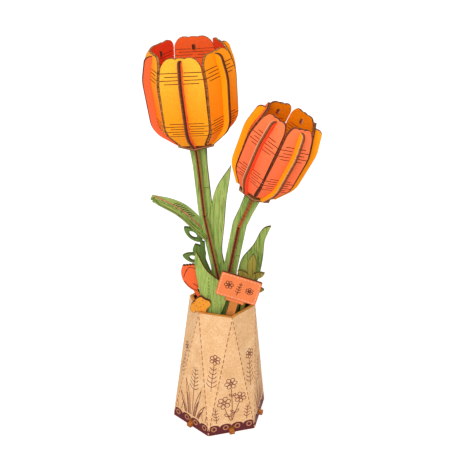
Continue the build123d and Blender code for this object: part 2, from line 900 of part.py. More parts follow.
def petal_path(tulip):
    """Middle surface of a petal: out from its seat, up, and in again past the rim.

    Each bend is a run of flats, as a sheet takes it between its bending cuts."""
    half = petal_thickness / 2
    smooth = FilletPolyline(
        (tulip.seat_radius - half, petal_seat_z),
        (tulip.waist_low_radius - half, tulip.waist_low_z),
        (tulip.waist_high_radius - half, tulip.waist_high_z),
        (tulip.rim_radius - half, tulip.rim_z),
        radius=(low_bend_radius, high_bend_radius),
    )
    low_bend, high_bend = smooth.edges().filter_by(GeomType.CIRCLE).sort_by(Axis.Y)
    stops = [smooth @ 0]
    stops += [bend_stop(low_bend, step / low_bend_flats) for step in range(low_bend_flats + 1)]
    stops += [bend_stop(high_bend, step / high_bend_flats) for step in range(high_bend_flats + 1)]
    return Polyline(*stops, smooth @ 1 + petal_thickness * (smooth % 1))


def bend_stop(bend, share):
    """Point along a bend, counted from its lower end."""
    return bend @ share if (bend @ 0).Y < (bend @ 1).Y else bend @ (1 - share)


def petal_radius_at(tulip, z):
    """Radius of the petal's middle surface at a height."""
    reach = tulip.waist_high_radius + cut_overrun
    crossing = petal_path(tulip).intersect(Line((0, z), (reach, z)))
    return crossing.vertices()[0].X


def petal_half_width_at(tulip, z):
    """Half the room between the two neighbours, measured on the petal's inner face."""
    reach = tulip.waist_high_radius + cut_overrun
    sheet = trace(petal_path(tulip), petal_thickness)
    crossing = sheet.intersect(Line((0, z), (reach, z)))
    inner = min(vertex.X for vertex in crossing.vertices())
    return inner * tan(radians(petal_angle / 2)) - petal_side_gap


def petal_outline(tulip):
    """Petal seen from outside, flat, with a rippled top edge."""
    shoulder_z = tulip.rim_z - petal_shoulder_drop
    foot_z = petal_seat_z + petal_thickness / 2
    heights = [vertex.Y for vertex in petal_path(tulip).vertices()]
    heights = sorted([foot_z, shoulder_z] + [z for z in heights if foot_z < z < shoulder_z])
    right = [(petal_half_width_at(tulip, z), z) for z in heights]
    right.insert(0, (right[0][0], petal_seat_z - petal_thickness))
    left = [(-x, z) for x, z in right]
    lean, rise = right[-2][0] - right[-1][0], right[-1][1] - right[-2][1]
    half_top, top_z = tulip.petal_top_half_width, tulip.rim_z - petal_ripple
    step = 2 * half_top / petal_ripples
    ripples = [
        SagittaArc((half_top - wave * step, top_z), (half_top - (wave + 1) * step, top_z), -petal_ripple)
        for wave in range(petal_ripples)
    ]
    return make_face(
        [
            Polyline(*right),
            TangentArc(right[-1], (half_top, top_z), tangent=(-lean, rise)),
            *ripples,
            TangentArc(left[-1], (-half_top, top_z), tangent=(lean, rise)),
            Polyline(*left),
            Line(left[0], right[0]),
        ]
    )


def petal_kerfs(tulip, first_z, pitch, count):
    """Cuts across one bend of a petal: in turn one inside it, and a pair in from its edges."""
    cuts = []
    for step in range(count):
        z = first_z + step * pitch
        radius, half = petal_radius_at(tulip, z), petal_half_width_at(tulip, z)
        if step % 2:
            length = half + cut_overrun - kerf_bridge / 2
            cut = Box(kerf_reach, length, kerf_width)
            cuts += [Pos(radius, side * (kerf_bridge + length) / 2, z) * cut for side in (-1, 1)]
        else:
            cuts.append(Pos(radius, 0, z) * Box(kerf_reach, 2 * (half - kerf_inset), kerf_width))
    return cuts


def hook_box(tulip, share, clearance):
    """Hook of a fin, or its slot in the petal, at a share of the petal's height."""
    z = share * tulip.rim_z
    hook = Rectangle(hook_reach + 2 * clearance, hook_height + 2 * clearance)
    return Pos(petal_radius_at(tulip, z), z) * hook


def make_petal(tulip):
    reach = tulip.waist_high_radius
    strip = extrude(Plane.XZ * trace(petal_path(tulip), petal_thickness), amount=reach, both=True)
    petal = strip & extrude(Plane.YZ * petal_outline(tulip), amount=reach + cut_overrun)
    for share in hook_z_shares:
        petal -= upright(hook_box(tulip, share, slot_clearance), ply_thickness + 2 * slot_clearance)
    petal -= petal_kerfs(tulip, tulip.low_kerf_z, -low_kerf_pitch, tulip.low_kerf_count)
    petal -= petal_kerfs(tulip, tulip.high_kerf_z, high_kerf_pitch, tulip.high_kerf_count)
    return petal


def make_fin(tulip):
    """Curved rib outside a petal, with hooks into it and a tab into the calyx plate."""
    top = tulip.fin_top_z
    foot_end = (tulip.seat_radius + tulip.fin_foot_proud, 0)
    outer = FilletPolyline(
        foot_end,
        (
            tulip.waist_low_radius + fin_low_proud_share * tulip.fin_proud,
            tulip.waist_low_z - fin_low_drop_share * tulip.fin_proud,
        ),
        (tulip.waist_high_radius + fin_high_proud_share * tulip.fin_proud, tulip.waist_high_z),
        (tulip.fin_corner_radius, top),
        (0, top),
        radius=(low_bend_radius + tulip.fin_proud, high_bend_radius, fin_corner_rounding),
    )
    back = Polyline((0, top), (0, 0), foot_end)
    path = petal_path(tulip)
    start, end = path @ 0, path @ 1
    over = tulip.rim_z + cut_overrun
    axis_side = Polyline(end, (end.X, over), (-cut_overrun, over), (-cut_overrun, start.Y), start)
    fin = make_face([outer, back]) - make_face([path, axis_side])
    fin -= trace(path, petal_thickness + 2 * slot_clearance)
    step_length = fin_foot_inner_radius + cut_overrun
    fin -= Pos((fin_foot_inner_radius - cut_overrun) / 2, fin_step_height / 2) * Rectangle(
        step_length, fin_step_height + 2 * cut_overrun
    )
    tab = Rectangle(fin_tab_outer_radius - fin_tab_inner_radius, calyx_thickness)
    fin += Pos((fin_tab_outer_radius + fin_tab_inner_radius) / 2, -calyx_thickness / 2) * tab
    for share in hook_z_shares:
        fin += hook_box(tulip, share, 0)
    return upright(fin, ply_thickness)


def cross_slot():
    width = ply_thickness + 2 * slot_clearance
    length = tongue_width + 2 * slot_clearance
    return Rectangle(length, width) + Rectangle(width, length)


def make_calyx_plate(tulip):
    """Hexagon with its corners at front and back, slotted for the stem and for the fins."""
    plate = Rot(0, 0, front_azimuth) * RegularPolygon(tulip.calyx_radius, petal_count) - cross_slot()
    length = fin_tab_outer_radius - fin_tab_inner_radius + 2 * slot_clearance
    slot = Rectangle(length, ply_thickness + 2 * slot_clearance)
    slot = Pos((fin_tab_outer_radius + fin_tab_inner_radius) / 2, 0) * slot
    for step in range(petal_count):
        plate -= Rot(0, 0, front_azimuth + tulip.spin + step * petal_angle) * slot
    return Pos(0, 0, -calyx_thickness) * extrude(plate, amount=calyx_thickness)


def make_lower_calyx_plate():
    plate = Rot(0, 0, front_azimuth) * RegularPolygon(lower_calyx_radius, petal_count) - cross_slot()
    return Pos(0, 0, shoulder_z) * extrude(plate, amount=calyx_thickness)


def make_tulip(tulip, stem):
    place = stem.head_place()
    petal, fin = make_petal(tulip), make_fin(tulip)
    pieces = {
        f"{tulip.name}_tulip_calyx_plate": place * make_calyx_plate(tulip),
        f"{tulip.name}_tulip_lower_calyx_plate": place * make_lower_calyx_plate(),
    }
    for step in range(petal_count):
        turn = place * Rot(0, 0, front_azimuth + tulip.spin + step * petal_angle)
        pieces[f"{tulip.name}_tulip_petal_{step + 1}"] = turn * petal
        pieces[f"{tulip.name}_tulip_fin_{step + 1}"] = turn * fin
    return pieces


# Whole bouquet

pieces = {
    "vase_sleeve": make_vase_sleeve(),
    "base_plate": make_base_plate(),
    "collar_plate": make_collar_plate(),
    "stem_board": make_stem_board(),
    "cross_board": make_cross_board(),
    "left_leaf": make_left_leaf(),
    "front_leaf": front_leaf.leaf(),
    "right_leaf": right_leaf.leaf(),
    "dark_sprig": make_dark_sprig(),
    "olive_sprig": make_olive_sprig(),
    "tulip_bud": make_bud(),
    "rim_piece": make_rim_piece(),
    "card": make_card(),
    "card_strip": make_card_strip(),
    "card_pick": make_card_pick(),
}
for stem in (left_stem, right_stem):
    pieces[f"{stem.name}_upper_rib"] = make_upper_rib(stem)
    pieces[f"{stem.name}_front_rib"] = make_lower_rib(stem, -1, front_rib_tab_shares)
    pieces[f"{stem.name}_back_rib"] = make_lower_rib(stem, 1, back_rib_tab_shares)
pieces.update(make_tulip(big_tulip, left_stem))
pieces.update(make_tulip(small_tulip, right_stem))

for name, piece in pieces.items():
    piece.label = name
    export_step(piece, f"parts/{name}.step")
print(len(pieces), "pieces")
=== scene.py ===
import json
import math

import bmesh
import bpy
from mathutils import Matrix, Vector
from mathutils.bvhtree import BVHTree


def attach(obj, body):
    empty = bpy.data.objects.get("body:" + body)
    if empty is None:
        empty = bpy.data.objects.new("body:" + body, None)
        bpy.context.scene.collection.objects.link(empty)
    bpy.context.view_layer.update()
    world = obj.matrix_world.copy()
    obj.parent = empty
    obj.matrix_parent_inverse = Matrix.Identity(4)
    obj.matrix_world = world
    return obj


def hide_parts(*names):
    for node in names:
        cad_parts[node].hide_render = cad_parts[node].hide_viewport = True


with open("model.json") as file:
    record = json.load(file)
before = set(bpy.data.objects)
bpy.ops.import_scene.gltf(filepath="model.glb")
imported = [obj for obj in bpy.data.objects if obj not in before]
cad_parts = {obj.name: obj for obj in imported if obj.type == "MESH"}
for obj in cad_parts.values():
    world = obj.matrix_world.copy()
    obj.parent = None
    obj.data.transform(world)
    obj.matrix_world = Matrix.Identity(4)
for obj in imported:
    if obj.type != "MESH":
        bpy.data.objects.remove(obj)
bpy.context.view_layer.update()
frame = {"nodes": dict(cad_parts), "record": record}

# A laser-cut plywood bouquet: printed and dyed sheets, with edges burnt by the cut
mm = 0.001
scene = bpy.context.scene
slotOf = {row["node"]: row["material_slot"] for row in frame["record"]["subparts"]}
print("frame loaded:", len(frame["nodes"]), "nodes")


def linear(hexColour):
    parts = [int(hexColour[i:i + 2], 16) / 255 for i in (1, 3, 5)]
    return tuple(c / 12.92 if c <= 0.04045 else ((c + 0.055) / 1.055) ** 2.4 for c in parts) + (1.0,)


def addNode(tree, kind, inputs=None, ramp=None, **settings):
    # An input is a number, a vector, a hex colour, a node or one output of a node.
    # A mix gives its colour by its third output.
    node = tree.nodes.new("ShaderNode" + kind)
    for name, value in settings.items():
        setattr(node, name, value)
    for socket, value in (inputs or {}).items():
        if isinstance(value, bpy.types.Node):
            value = value.outputs[2 if value.bl_idname == "ShaderNodeMix" else 0]
        if isinstance(value, bpy.types.NodeSocket):
            tree.links.new(value, node.inputs[socket])
        else:
            node.inputs[socket].default_value = linear(value) if isinstance(value, str) else value
    if ramp:
        while len(node.color_ramp.elements) < len(ramp):
            node.color_ramp.elements.new(0.5)
        for element, (position, colour) in zip(node.color_ramp.elements, ramp):
            element.position = position
            element.color = linear(colour)
    return node


def newMaterial(name):
    material = bpy.data.materials.new(name)
    material.use_nodes = True
    material.node_tree.nodes.clear()
    return material


def finishMaterial(tree, colour, roughness, height, look):
    # look holds the relief in metres and the specular level
    bump = addNode(tree, "Bump", {"Strength": 1.0, "Distance": look["relief"], "Height": height})
    shader = addNode(tree, "BsdfPrincipled", {
        "Base Color": colour, "Roughness": roughness, "Specular IOR Level": look["specular"], "IOR": 1.5,
        "Normal": bump,
    })
    addNode(tree, "OutputMaterial", {"Surface": shader})


# What the finishes take from their noises and from the two attributes of a sheet
ranges = {
    "noise": {"From Min": 0.3, "From Max": 0.7},  # most values of a noise
    "grain": {"From Min": 0.25, "From Max": 0.75},
    "streak": {"From Min": 0.48, "From Max": 0.62},  # strong streaks only
    "dot": {"From Min": 0.6, "From Max": 0.72},  # the highest specks only
    "pore": {"From Min": 0.62, "From Max": 0.72},
    "side": {"From Min": 0.45, "From Max": 0.55},  # layer: 0 on a sheet's back, 1 on its front
    "burn": {"From Min": 0.25, "From Max": 0.85},  # scorch: 1 at a cut, 0 past the rim
}

# Birch plywood, sanded, printed or dyed on both faces and cut by laser. To the eye: a matt colour,
# fine lengthwise grain with short darker pores, and a brown scorch along every cut.
plyLook = {
    "grainAcross": 0.5 * mm,  # width of a grain streak
    "grainAlong": 11 * mm,
    "grainLift": 0.6,  # a streak lightens less than it darkens
    "poreAcross": 0.45 * mm,  # real pores are near 0.1 mm, drawn coarser to show
    "poreAlong": 2.6 * mm,
    "cloud": 6 * mm,
    "cloudStretch": 1.6,
    "speck": 0.8 * mm,  # dots of the print, drawn coarser to show
    "dotStrength": 0.8,  # of the strength of the streaks
    "fadeLow": 22 * mm,  # a petal's front turns from its lower to its lighter upper colour between these, painted light from above
    "fadeHigh": 50 * mm,
    "raggedness": 0.2,  # how unevenly the scorch ends
    "smooth": 0.61,  # roughness from smooth to rough along the grain
    "rough": 0.74,
    "relief": 0.03 * mm,
    "specular": 0.16,
    "sheetSpread": 53.0,  # how far the noises shift from piece to piece, so that no two share a grain
}


def sheetCoords(tree):
    # every piece is cut from another place of the sheet
    uv = addNode(tree, "UVMap", uv_map="sheet")
    chance = addNode(tree, "ObjectInfo").outputs["Random"]
    return uv, addNode(tree, "Math", {0: chance, 1: plyLook["sheetSpread"]}, operation="MULTIPLY")


def woodNoise(tree, uv, shift, across, along, detail=2.0, rough=0.5):
    place = addNode(tree, "Mapping", {"Vector": uv, "Scale": (1 / across, 1 / along, 1.0)})
    return addNode(tree, "TexNoise", {
        "Vector": place, "W": shift, "Scale": 1.0, "Detail": detail, "Roughness": rough,
    }, noise_dimensions="4D")


def scorched(tree, colour, specks, scorch, strength):
    # colour with a scorch along the cuts, which ends raggedly
    burn = addNode(tree, "Attribute", attribute_name="scorch").outputs["Fac"]
    uneven = plyLook["raggedness"]
    ragged = addNode(tree, "MapRange", {
        "Value": specks, **ranges["noise"], "To Min": -uneven, "To Max": uneven})
    burnt = addNode(tree, "Math", {0: burn, 1: ragged}, operation="ADD")
    mask = addNode(tree, "MapRange", {"Value": burnt, **ranges["burn"], "To Max": strength})
    return addNode(tree, "Mix", {0: mask, 6: colour, 7: scorch}, data_type="RGBA")


def printedPly(name, front, back, scorch="#4A2213", litTop=None, streak=None, streakStrength=0.0, grain=0.08,
               pores=0.15, mottle=0.05, speck=0.05, backBurn=0.6):
    # grain, mottle and speck are shares of the brightness; the top colour is the front's colour higher up,
    # made lighter as painted light from above
    material = newMaterial(name)
    tree = material.node_tree
    uv, shift = sheetCoords(tree)
    layer = addNode(tree, "Attribute", attribute_name="layer").outputs["Fac"]
    side = addNode(tree, "MapRange", {"Value": layer, **ranges["side"]})
    # the front lightens towards the top: painted light from above
    if litTop:
        height = addNode(tree, "SeparateXYZ", {0: uv}).outputs["Y"]
        rise = addNode(tree, "MapRange", {
            "Value": height, "From Min": plyLook["fadeLow"], "From Max": plyLook["fadeHigh"]})
        front = addNode(tree, "Mix", {0: rise, 6: front, 7: litTop}, data_type="RGBA")
    colour = addNode(tree, "Mix", {0: side, 6: back, 7: front}, data_type="RGBA")

    # brightness: lengthwise streaks of the veneer, slow clouds and the specks of the print
    streaks = woodNoise(tree, uv, shift, plyLook["grainAcross"], plyLook["grainAlong"], 3.0, 0.6)
    clouds = woodNoise(tree, uv, shift, plyLook["cloud"], plyLook["cloud"] * plyLook["cloudStretch"])
    specks = woodNoise(tree, uv, shift, plyLook["speck"], plyLook["speck"])
    shade = addNode(tree, "MapRange", {
        "Value": streaks, **ranges["grain"],
        "To Min": 1 - grain, "To Max": 1 + grain * plyLook["grainLift"]})
    for noise, amount in ((clouds, mottle), (specks, speck)):
        change = addNode(tree, "MapRange", {
            "Value": noise, **ranges["noise"], "To Min": 1 - amount, "To Max": 1 + amount})
        shade = addNode(tree, "Math", {0: shade, 1: change}, operation="MULTIPLY")
    toned = addNode(tree, "HueSaturation", {"Value": shade, "Color": colour})

    # a second colour in the strong streaks and highest specks, then the pores
    if streak:
        for noise, part, strength in (
            (streaks, "streak", streakStrength),
            (specks, "dot", streakStrength * plyLook["dotStrength"]),
        ):
            mask = addNode(tree, "MapRange", {"Value": noise, **ranges[part], "To Max": strength})
            toned = addNode(tree, "Mix", {0: mask, 6: toned, 7: streak}, data_type="RGBA")
    poreNoise = woodNoise(tree, uv, shift, plyLook["poreAcross"], plyLook["poreAlong"], 1.0)
    poreMask = addNode(tree, "MapRange", {"Value": poreNoise, **ranges["pore"], "To Max": pores})
    toned = addNode(tree, "Mix", {0: poreMask, 6: toned, 7: scorch}, data_type="RGBA")

    # the scorch is fainter on the back
    strength = addNode(tree, "MapRange", {"Value": side, "To Min": backBurn, "To Max": 1.0})
    toned = scorched(tree, toned, specks, scorch, strength)
    rough = addNode(tree, "MapRange", {
        "Value": streaks, **ranges["noise"], "To Min": plyLook["smooth"], "To Max": plyLook["rough"]})
    finishMaterial(tree, toned, rough, streaks, plyLook)
    return material


# Laser-cut edge of thin birch ply. To the eye: charred and dull, with skins and core as lines along it.
edgeLook = {
    "charAcross": 0.7 * mm,
    "charAlong": 0.9 * mm,
    "roughness": 0.85,
    "relief": 0.05 * mm,
    "specular": 0.12,
}


def burntEdge(name, contrast, ramp):
    # the ramp runs from the back skin to the front skin
    material = newMaterial(name)
    tree = material.node_tree
    uv, shift = sheetCoords(tree)
    layer = addNode(tree, "Attribute", attribute_name="layer").outputs["Fac"]
    plies = addNode(tree, "ValToRGB", {"Fac": layer}, ramp=ramp)
    char = woodNoise(tree, uv, shift, edgeLook["charAcross"], edgeLook["charAlong"], 3.0)
    shade = addNode(tree, "MapRange", {
        "Value": char, **ranges["noise"], "To Min": 1 - contrast, "To Max": 1 + contrast})
    toned = addNode(tree, "HueSaturation", {"Value": shade, "Color": plies})
    finishMaterial(tree, toned, edgeLook["roughness"], char, edgeLook)
    return material


edges = {
    # brown char with a darker line in the core
    "plain": burntEdge("burnt ply edge", 0.3, [
        (0, "#6E3C20"), (0.3, "#7E4626"), (0.5, "#4E2616"), (1, "#6E3C20")]),
    # petals: tan core blotched with char, and a darker brown on the small flower
    "bigPetal": burntEdge("burnt petal edge", 0.75, [
        (0, "#6A3218"), (0.25, "#9A6032"), (0.55, "#B47C44"), (0.8, "#8E5830"), (1, "#5E2E18")]),
    "smallPetal": burntEdge("dark petal edge", 0.65, [
        (0, "#6A3420"), (0.45, "#8A5034"), (0.75, "#5A2C1A"), (1, "#48200F")]),
    # fins: brown shading to dark; on the small flower's fins a pale line along one side is a painted
    # highlight on the edge
    "bigFin": burntEdge("burnt fin edge", 0.3, [
        (0, "#A4683C"), (0.2, "#84482A"), (0.45, "#5C2C1A"), (1, "#46200F")]),
    "smallFin": burntEdge("fin edge with painted highlight", 0.3, [
        # the pale first share is the painted highlight
        (0, "#E2A683"), (0.14, "#E2A683"), (0.24, "#9A5830"), (0.6, "#8A4A28"), (1, "#5C2A16")]),
    # ribs: a dark core between rust skins, redder and more blotched on the right stem
    "leftRib": burntEdge("dark-cored rib edge", 0.3, [
        (0, "#8E5430"), (0.24, "#8E5430"), (0.34, "#482018"), (0.66, "#482018"), (0.76, "#A0602E"),
        (1, "#A0602E")]),
    "rightRib": burntEdge("rust-brown rib edge", 0.5, [
        (0, "#5A2C1A"), (0.2, "#A85A2C"), (0.5, "#70341C"), (0.8, "#B4642E"), (1, "#6A361E")]),
    "rightLowRib": burntEdge("dark rust rib edge", 0.5, [
        (0, "#5A2C1A"), (0.18, "#8E4224"), (0.34, "#4E1C12"), (0.66, "#56201A"), (0.82, "#A0522A"),
        (1, "#5E2C18")]),
    # toothed arm under the left leaf: clean tan wood between dark skins
    "arm": burntEdge("tan toothed edge", 0.3, [
        (0, "#6E3824"), (0.1, "#6E3824"), (0.18, "#E09A6C"), (0.82, "#E8A274"), (0.9, "#6E3824"),
        (1, "#6E3824")]),
    # leaf and sprigs: the green stain has run into the edge
    "leaf": burntEdge("green-stained leaf edge", 0.3, [
        (0, "#6E8442"), (0.45, "#7E9A4C"), (0.7, "#7A6A3A"), (1, "#5E3A22")]),
    "sprig": burntEdge("dark sprig edge", 0.3, [(0, "#46542A"), (0.5, "#5E6E34"), (1, "#453A20")]),
    "olive": burntEdge("olive sprig edge", 0.3, [(0, "#5A5226"), (0.5, "#7A6E30"), (1, "#5A4420")]),
    # vase and base: golden wood, lightly toasted
    "rim": burntEdge("golden vase edge", 0.25, [
        (0, "#8A4A1E"), (0.25, "#CC8234"), (0.7, "#E29C48"), (1, "#BC7832")]),
    "base": burntEdge("base tab edge", 0.3, [
        (0, "#5E2814"), (0.3, "#9E5222"), (0.7, "#CE7C34"), (1, "#5E2814")]),
    # plates under the flowers: a light core between dark glue lines
    "calyx": burntEdge("calyx edge", 0.3, [
        (0, "#6A3A24"), (0.25, "#5A2C1C"), (0.38, "#B67E50"), (0.62, "#C08A5A"), (0.74, "#5A2C1C"),
        (1, "#80502E")]),
}

plyFinishes = {
    # sand-coloured print, and plain orange-brown veneer
    "kraft_ply": printedPly("kraft-tinted ply", "#E9B988", "#5E3A22", scorch="#7A4526"),
    "bare_ply": printedPly("bare birch ply", "#D27E3A", "#C8783A", scorch="#6B3A1C", grain=0.14, pores=0.3),
    # green dyes, drawn into streaks by the grain
    "stem_green_ply": printedPly(
        "stem green ply", "#A9BB64", "#9AB45A", scorch="#5E3A20", streak="#527E30", streakStrength=0.85,
        grain=0.12),
    "leaf_green_ply": printedPly(
        "leaf green ply", "#AABC60", "#90AA52", scorch="#553A1E", streak="#4A742C", streakStrength=0.85,
        grain=0.14, mottle=0.1),
    "dark_green_ply": printedPly(
        "dark green ply", "#6E8C40", "#5A782E", scorch="#38481C", streak="#42581F", streakStrength=0.6,
        grain=0.12),
    "olive_ply": printedPly(
        "olive ply", "#A39540", "#82782A", scorch="#74642A", streak="#54521A", streakStrength=0.9,
        grain=0.14),
    # orange and coral dyes, with redder streaks
    "coral_ply": printedPly(
        "coral bud ply", "#FF6C36", "#E85A2C", scorch="#6A2818", streak="#F0501E", streakStrength=0.35),
    "orange_ply": printedPly(
        "orange ply", "#EE9A30", "#E08420", scorch="#6A3616", streak="#D8781E", streakStrength=0.5),
    # an even coral print, and brown dyed plates with a touch of green
    "card_ply": printedPly(
        "coral card ply", "#EC7E48", "#E9A878", scorch="#8A4428", grain=0.04, pores=0.05),
    "calyx_ply": printedPly(
        "calyx ply", "#86603A", "#6E4428", scorch="#55301A", streak="#6A7A3A", streakStrength=0.4),
}
print("sheet materials made:", len(bpy.data.materials))


def placed(x, z, tiltDegrees, turnDegrees=0.0):
    # frame of a stem or flower head in the plane of the stem board
    return (
        Matrix.Translation((x * mm, 0, z * mm))
        @ Matrix.Rotation(math.radians(tiltDegrees), 4, "Y")
        @ Matrix.Rotation(math.radians(turnDegrees), 4, "Z")
    )


sheetWork = {
    "merge": 0.002 * mm,  # corners this close are one
    "facing": 0.5,  # least cosine between a sheet's own direction and a face of it
}


def finishSheet(node, name, body="bouquet", place=Matrix.Identity(4), axis=1, sign=-1, uvAxes=(0, 2),
                rim=0.35, facing=None, face=None, edge="plain", otherEdge=None, mapFace=None, widen=None):
    # A copy of the cut sheet, with a scorched rim round each printed face.
    # otherEdge is a second edge finish and the test for its walls; widen gives a share for each height.
    mesh = bpy.data.meshes.new(name)
    bm = bmesh.new()
    bm.from_mesh(frame["nodes"][node].data)
    bmesh.ops.remove_doubles(bm, verts=bm.verts, dist=sheetWork["merge"])
    inward = place.inverted()
    turn = inward.to_3x3()
    if widen:
        for v in bm.verts:
            local = inward @ v.co
            local.y *= 1 + widen(local.z / mm)
            v.co = place @ local
    bm.normal_update()
    groups = {1: [], -1: [], 0: []}
    for f in bm.faces:
        value = facing(f) if facing else (turn @ f.normal)[axis] * sign
        groups[1 if value > sheetWork["facing"] else -1 if value < -sheetWork["facing"] else 0].append(f)
    scorch = bm.verts.layers.float.new("scorch")
    layer = bm.verts.layers.float.new("layer")
    for f in groups[0]:
        f.material_index = 2 if otherEdge and otherEdge[1](f.calc_center_median() / mm) else 1
        for v in f.verts:
            v[scorch] = 1.0
    for side in (1, -1):
        for f in groups[side]:
            for v in f.verts:
                v[layer] = 1.0 if side == 1 else 0.0
    for side in (1, -1):
        bmesh.ops.inset_region(bm, faces=groups[side], use_boundary=True, use_even_offset=False,
                               thickness=rim * mm, depth=0.0, use_interpolate=True)
        for f in groups[side]:
            for v in f.verts:
                v[scorch] = 0.0
                v[layer] = 1.0 if side == 1 else 0.0
    uv = bm.loops.layers.uv.new("sheet")
    for f in bm.faces:
        for loop in f.loops:
            point = inward @ loop.vert.co
            loop[uv].uv = (point[uvAxes[0]], point[uvAxes[1]])
    if mapFace:
        mapFace(bm)
    bm.to_mesh(mesh)
    bm.free()
    mesh.materials.append(face or plyFinishes[slotOf[node]])
    mesh.materials.append(edges[edge])
    if otherEdge:
        mesh.materials.append(edges[otherEdge[0]])
    piece = bpy.data.objects.new(name, mesh)
    scene.collection.objects.link(piece)
    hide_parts(node)
    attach(piece, body)
    return piece


# Line burnt or printed into the veneer. To the eye: a matt line, a little broken by the grain under it.
inkLook = {
    "grain": 0.9 * mm,
    "contrast": 0.25,
    "roughness": 0.7,
    "relief": 0.01 * mm,
    "specular": 0.12,
    "flatness": 0.14,  # share of its round thickness that a line keeps
}


def inkFinish(name, colour):
    material = newMaterial(name)
    tree = material.node_tree
    place = addNode(tree, "TexCoord").outputs["Object"]
    grain = addNode(tree, "TexNoise", {"Vector": place, "Scale": 1 / inkLook["grain"], "Detail": 2.0})
    shade = addNode(tree, "MapRange", {
        "Value": grain, **ranges["noise"],
        "To Min": 1 - inkLook["contrast"], "To Max": 1 + inkLook["contrast"]})
    toned = addNode(tree, "HueSaturation", {"Value": shade, "Color": colour})
    finishMaterial(tree, toned, inkLook["roughness"], grain, inkLook)
    return material


inks = {
    "brown": inkFinish("brown engraved line", "#84483A"),
    "dark": inkFinish("dark printed line", "#43241A"),
    "green": inkFinish("dark green printed line", "#46602A"),
    "red": inkFinish("red printed dot", "#B04A34"),
    "pale": inkFinish("pale printed line", "#F8BE9E"),
    "rust": inkFinish("rust engraved line", "#A85A20"),
    "vein": inkFinish("brown-green leaf vein", "#8E7440"),
}


def surfaceOf(node):
    mesh = frame["nodes"][node].data
    corners = [v.co.copy() for v in mesh.vertices]
    return BVHTree.FromPolygons(corners, [tuple(p.vertices) for p in mesh.polygons])


def fromFront(node, strokes):
    # strokes in x and z of the front view, laid on the first surface behind them
    surface = surfaceOf(node)
    before = 200 * mm  # in front of the whole bouquet
    laid = []
    for stroke in strokes:
        starts = [Vector((x * mm, -before, z * mm)) for x, z in stroke]
        hits = [surface.ray_cast(start, Vector((0, 1, 0)))[0] for start in starts]
        if all(hits):
            laid.append(hits)
    return laid


def drawInk(name, node, strokes, width, ink, body="bouquet"):
    # strokes are points in metres on the sheet; the line is a thin curve pressed almost flat
    surface = surfaceOf(node)
    curve = bpy.data.curves.new(name, "CURVE")
    curve.dimensions = "3D"
    curve.bevel_depth = width / 2 * mm
    curve.bevel_resolution = 1
    curve.use_fill_caps = True
    for stroke in strokes:
        spline = curve.splines.new("NURBS")
        spline.points.add(len(stroke) - 1)
        for point, place in zip(spline.points, stroke):
            point.co = (*place, 1.0)
        spline.order_u = min(3, len(stroke))
        spline.use_endpoint_u = True
        spline.resolution_u = 3
    drawn = bpy.data.objects.new(name + "Path", curve)
    mesh = bpy.data.meshes.new_from_object(drawn)
    bpy.data.objects.remove(drawn)
    for v in mesh.vertices:
        near = surface.find_nearest(v.co)[0]
        v.co = near + (v.co - near) * inkLook["flatness"]
    mesh.materials.clear()
    mesh.materials.append(inks[ink])
    piece = bpy.data.objects.new(name, mesh)
    scene.collection.objects.link(piece)
    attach(piece, body)
    return piece


# Flower heads: axis foot, tilt and the turn of their first petal, then the colours of each petal in turn:
# the print, with painted shade between the big flower's petals.
# Colours of a fin are its side to the right of the petal before it, and its other side.
tulips = {
    "big": {
        "x": -16.8, "z": 188.7, "tilt": -6.99, "spin": 0,
        # outside: the print, lightest on the front petal and darker on the petals turned from the light,
        # which is painted shade
        "outside": ("#FF9B0E", "#FF8602", "#FF8202", "#FF900A", "#FF900A", "#FB8404"),
        # lighter upper colours: painted light from above
        "outsideLitTop": ("#FFB42E", "#FF9508", "#FF8C06", "#FF9E14", "#FF9E14", "#FFA220"),
        # inside: the coral print, darker on the inner faces turned from the light, which is painted shade
        "inside": ("#FF7032", "#FF602A", "#FF5424", "#FF7030", "#FF4A24", "#FF4622"),
        "finSides": [("#FF6C3C", "#FFA008")] * 6,
        "petalScorch": "#5E2A12", "finScorch": "#6A3014",
    },
    "small": {
        "x": 17.9, "z": 160.2, "tilt": 20.97, "spin": 30,
        "outside": ("#FF7142",) * 6,
        # lighter upper colours: painted light from above
        "outsideLitTop": ("#FF7E4A",) * 6,
        "inside": ("#FF9206",) * 6,
        "finSides": [("#FF5226", "#FFA406")] * 4 + [("#FFA606", "#FFA606"), ("#FF5226", "#FFA406")],
        "petalScorch": "#9A4826", "finScorch": "#8A4A20",
    },
}
headLook = {
    "petals": 6,
    "firstPetal": -90,  # degrees, towards the front
    "petalRim": 0.24, "finRim": 0.16, "plateRim": 0.3,
    "print": {"grain": 0.04, "pores": 0.05, "mottle": 0.03},  # a solid dye that hides most of the grain
    "petalSpeck": 0.12,
    "petalBackBurn": 0.2, "finBackBurn": 1.0,
}
petalSqueeze = {"share": 0.026, "middle": 18.5, "reach": 9.0}  # neighbours pressed together at the low bend


def petalSpread(height):
    off = min(1.0, abs(height - petalSqueeze["middle"]) / petalSqueeze["reach"])
    return petalSqueeze["share"] * (1 - off * off)


